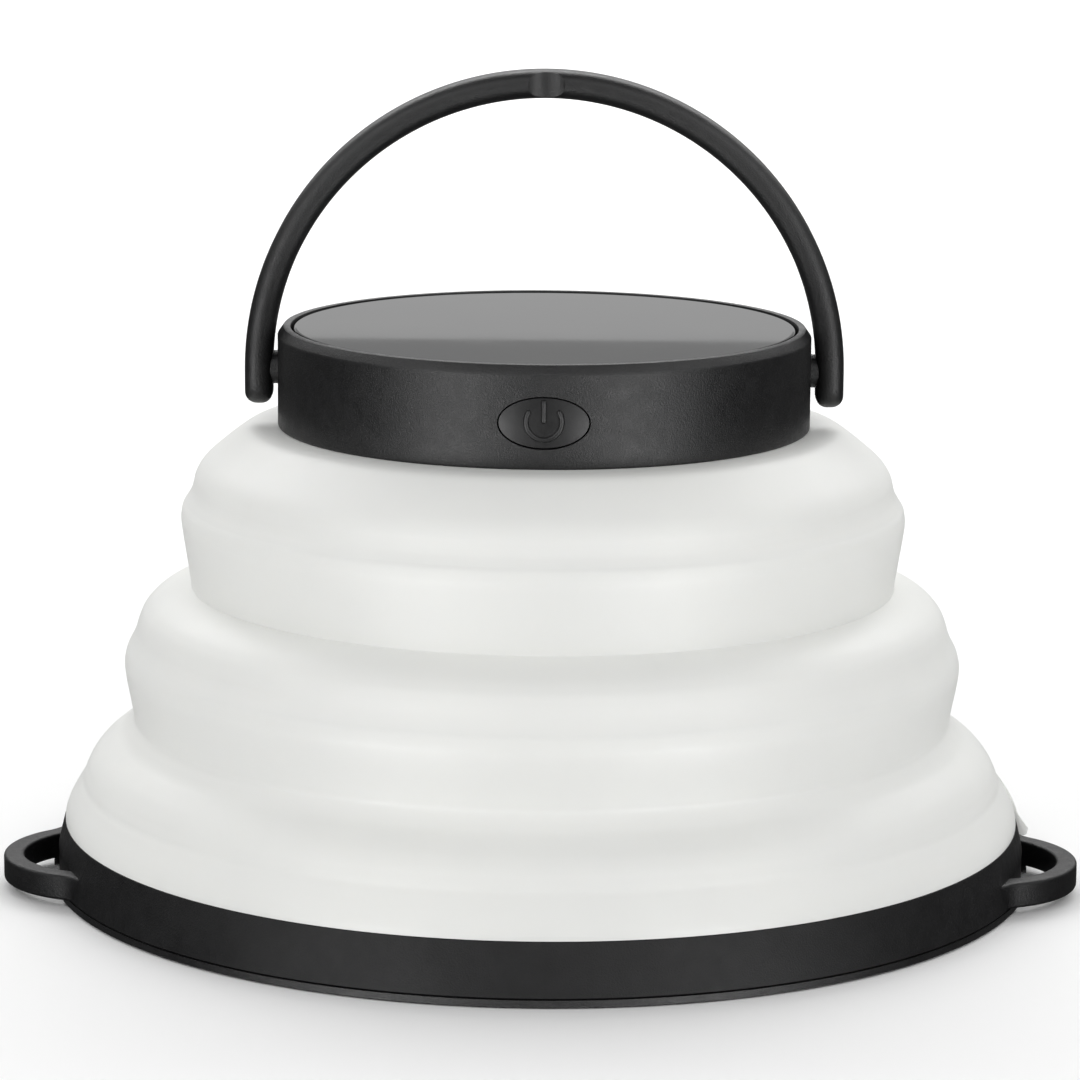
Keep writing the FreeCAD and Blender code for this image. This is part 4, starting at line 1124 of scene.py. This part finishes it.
# ------------------------------------------------------------------- USB flap
@dataclass
class SocketFlap(SubAssembly):
    """Rubber flap over the charging socket, with a thumb lip and a hinge groove."""

    thick: float = 0.8
    plug_wide: float = 8.0
    plug_high: float = 2.2
    plug_deep: float = 0.6
    plug_root: float = 0.2
    plate_edge: float = 0.16
    plug_edge: float = 0.15
    # Its outer side: offsets outwards and from its foot, at the hinge groove.
    groove: tuple[Point, ...] = ((0.0, 0.0), (0.0, 0.6), (-0.22, 0.8), (0.0, 1.0))
    # Its outer side: offsets outwards and from its top, at the thumb lip.
    lip: tuple[Point, ...] = ((0.0, -1.0), (0.18, -0.75), (0.18, -0.35), (0.0, 0.0))

    def build(self) -> None:
        """Makes the curved plate and the plug behind it."""
        outer = high("usb_flap").y
        foot, top = low("usb_flap").z, high("usb_flap").z
        half = math.asin(high("usb_flap").x / outer)
        inner = outer - self.thick
        line = [(inner, foot)] + placed(outer, foot, self.groove)
        line += placed(outer, top, self.lip) + [(inner, top)]
        plate = swept("socket_flap", line, HALF_TURN / 2 + half, 2 * half, 28)
        rounded_edges(plate, self.plate_edge, 2, 50)
        self.fit(soften(plate, 40), "flap", "black_rubber", "usb_flap")
        middle = (low("usb_connector").z + high("usb_connector").z) / 2
        plug = raised("flap_plug", oval(self.plug_wide, self.plug_high, 48),
                      -inner - self.plug_root, -inner + self.plug_deep)
        laid(plug, turn(90, "X"))
        laid(plug, shift(0, 0, middle))
        rounded_edges(plug, self.plug_edge, 2, 60)
        self.fit(soften(plug, 40), "flap", "black_rubber")


# ---------------------------------------------------------------------- studio
@dataclass
class Studio:
    """Pale floor, soft lights and the camera."""

    distance: float = 673.4
    height: float = 184.26
    tilt_deg: float = 11.04
    roll_deg: float = 0.456
    yaw_deg: float = 0.039
    lens: float = 145.74
    sensor: float = 36.0
    floor_size: float = 9.0
    sky: tuple[Point, ...] = ((0.3, 0.06), (0.52, 1.08), (0.7, 1.08), (0.85, 0.06))
    floor_pale: tuple[float, float] = (0.90, 0.92)
    floor_mottle: float = 30.0
    aim: Spot = (0.0, 0.0, 0.05)
    side_place: Spot = (0.95, -0.98, 0.62)
    side_size: Point = (0.95, 1.3)
    side_watts: float = 6.3
    top_place: Spot = (0.0, 0.75, 1.25)
    top_size: Point = (1.4, 0.9)
    top_watts: float = 5.0
    wash_place: Spot = (0.0, 1.9, 1.3)
    wash_aim: Spot = (0.0, 1.7, 0.0)
    wash_size: Point = (3.4, 2.0)
    wash_watts: float = 44.0
    back_foot: float = 0.08
    upper_high: float = 0.5
    back_glow: float = 0.65
    upper_glow: float = 0.36
    back_width: float = 2.4
    back_away: float = 1.5
    edge_forward: float = 14.4
    front_deg: float = 36.0
    front_away: float = 1.2
    front_width: float = 0.5
    front_span: Point = (-0.6, 0.02)
    front_glow: float = 7.0

    def _floor_material(self) -> Material:
        """Pale matt floor with a faint mottle."""
        material, tree = blank_material("floor_pale")
        shader = tree.nodes["Principled BSDF"]
        noise = tree.nodes.new("ShaderNodeTexNoise")
        preset(noise, Scale=self.floor_mottle)
        mix = tree.nodes.new("ShaderNodeMix")
        mix.data_type = "RGBA"
        mix.inputs["A"].default_value = (*(self.floor_pale[0],) * 3, 1)
        mix.inputs["B"].default_value = (*(self.floor_pale[1],) * 3, 1)
        tree.links.new(noise.outputs["Fac"], mix.inputs["Factor"])
        tree.links.new(mix.outputs["Result"], shader.inputs["Base Color"])
        preset(shader, Roughness=0.9, Specular_IOR_Level=0.1)
        return material

    def _floor(self) -> None:
        """Adds the floor."""
        clear_selection()
        bpy.ops.mesh.primitive_circle_add(vertices=96, radius=self.floor_size, fill_type="NGON")
        floor = named("floor")
        floor.data.materials.append(self._floor_material())
        floor.visible_glossy = False
        floor.visible_shadow = False

    def _sky(self) -> None:
        """Soft sky: dim at the horizon and straight above, bright between."""
        world = bpy.data.worlds.new("studio")
        world.use_nodes = True
        tree = world.node_tree
        place = tree.nodes.new("ShaderNodeTexCoord")
        split = tree.nodes.new("ShaderNodeSeparateXYZ")
        ramp = tree.nodes.new("ShaderNodeValToRGB")
        ramp.color_ramp.interpolation = "EASE"
        for _ in self.sky[2:]:
            ramp.color_ramp.elements.new(0.5)
        for stop, (rise, light) in zip(ramp.color_ramp.elements, self.sky):
            stop.position = rise
            stop.color = (light, light, light, 1)
        tree.links.new(place.outputs["Generated"], split.inputs["Vector"])
        tree.links.new(split.outputs["Z"], ramp.inputs["Fac"])
        tree.links.new(ramp.outputs["Color"], tree.nodes["Background"].inputs["Color"])
        bpy.context.scene.world = world

    def _softbox(self, name: str, place: Spot, aim: Spot, size: Point, watts: float) -> None:
        """Adds a rectangular soft light that looks at a point."""
        light = bpy.data.lights.new(name, "AREA")
        light.shape = "RECTANGLE"
        light.size, light.size_y = size
        light.energy = watts
        holder = bpy.data.objects.new(name, light)
        holder.location = place
        holder.rotation_euler = (Vector(aim) - Vector(place)).to_track_quat("-Z", "Y").to_euler()
        holder.visible_camera = False
        bpy.context.collection.objects.link(holder)

    def _card(self, name: str, turn_deg: float, away: float, span: Point, width: float,
              glow: float) -> None:
        """Stands a glowing card that shows only in what is glossy.

        Args:
            name: The card's name.
            turn_deg: Bearing from the lantern, turned anticlockwise from behind it.
            away: Distance from the lantern, in metres.
            span: Heights of its lower and upper edges, in metres.
            width: Its width, in metres.
            glow: Strength of its light.
        """
        material, tree = blank_material(name + "_glow")
        tree.nodes.remove(tree.nodes["Principled BSDF"])
        light = tree.nodes.new("ShaderNodeEmission")
        preset(light, Strength=glow)
        tree.links.new(light.outputs["Emission"], tree.nodes["Material Output"].inputs["Surface"])
        clear_selection()
        bpy.ops.mesh.primitive_grid_add(x_subdivisions=4, y_subdivisions=2, size=1)
        card = named(name)
        foot, top = span
        card.data.transform(Matrix.Diagonal((width, top - foot, 1, 1)))
        card.data.transform(turn(90, "X"))
        card.data.transform(Matrix.Translation((0, away, (top + foot) / 2)))
        card.data.transform(turn(turn_deg, "Z"))
        card.data.materials.append(material)
        card.visible_camera = False
        card.visible_diffuse = False
        card.visible_shadow = False

    def _cards(self) -> None:
        """Sets the cards: two behind, whose common edge shows in the panel, and two in front."""
        face_z = high("panel_lens").z
        slope = (self.height - face_z) / (self.distance - self.edge_forward)
        edge = (face_z + self.edge_forward * slope) * MM + self.back_away * slope
        self._card("back_card", 0, self.back_away, (self.back_foot, edge),
                   self.back_width, self.back_glow)
        self._card("upper_card", 0, self.back_away, (edge, edge + self.upper_high),
                   self.back_width, self.upper_glow)
        for side in (1, -1):
            self._card(f"front_card_{side + 1}", 180 + side * self.front_deg, self.front_away,
                       self.front_span, self.front_width, self.front_glow)

    def _camera(self) -> None:
        """Sets the camera at the viewing angle."""
        lens = bpy.data.cameras.new("camera")
        lens.lens = self.lens
        lens.sensor_width = self.sensor
        holder = bpy.data.objects.new("camera", lens)
        holder.location = Vector((0, -self.distance, self.height)) * MM
        facing = turn(self.yaw_deg, "Z") @ turn(90 - self.tilt_deg, "X") @ turn(self.roll_deg, "Z")
        holder.rotation_euler = facing.to_euler()
        bpy.context.collection.objects.link(holder)
        bpy.context.scene.camera = holder

    def build(self) -> None:
        """Sets up the floor, the light and the camera."""
        self._floor()
        self._sky()
        self._cards()
        x, y, z = self.side_place
        for side in (1, -1):
            self._softbox(f"side_box_{side + 1}", (side * x, y, z), self.aim,
                          self.side_size, self.side_watts)
        self._softbox("top_box", self.top_place, self.aim, self.top_size, self.top_watts)
        self._softbox("floor_wash", self.wash_place, self.wash_aim, self.wash_size, self.wash_watts)
        self._camera()
        bpy.context.scene.view_settings.view_transform = "Standard"


def main() -> None:
    """Builds the studio and every sub-assembly, and dresses what is left of the frame."""
    logging.basicConfig(level=logging.INFO, format="%(name)s: %(message)s")
    Studio().build()
    shop = PaintShop()
    for assembly in (Bellows, PullTab, Base, Cap, Handle, PowerButton, SocketFlap):
        assembly(shop).build()
    shop.dress_nodes()


if __name__ == "__main__":
    main()
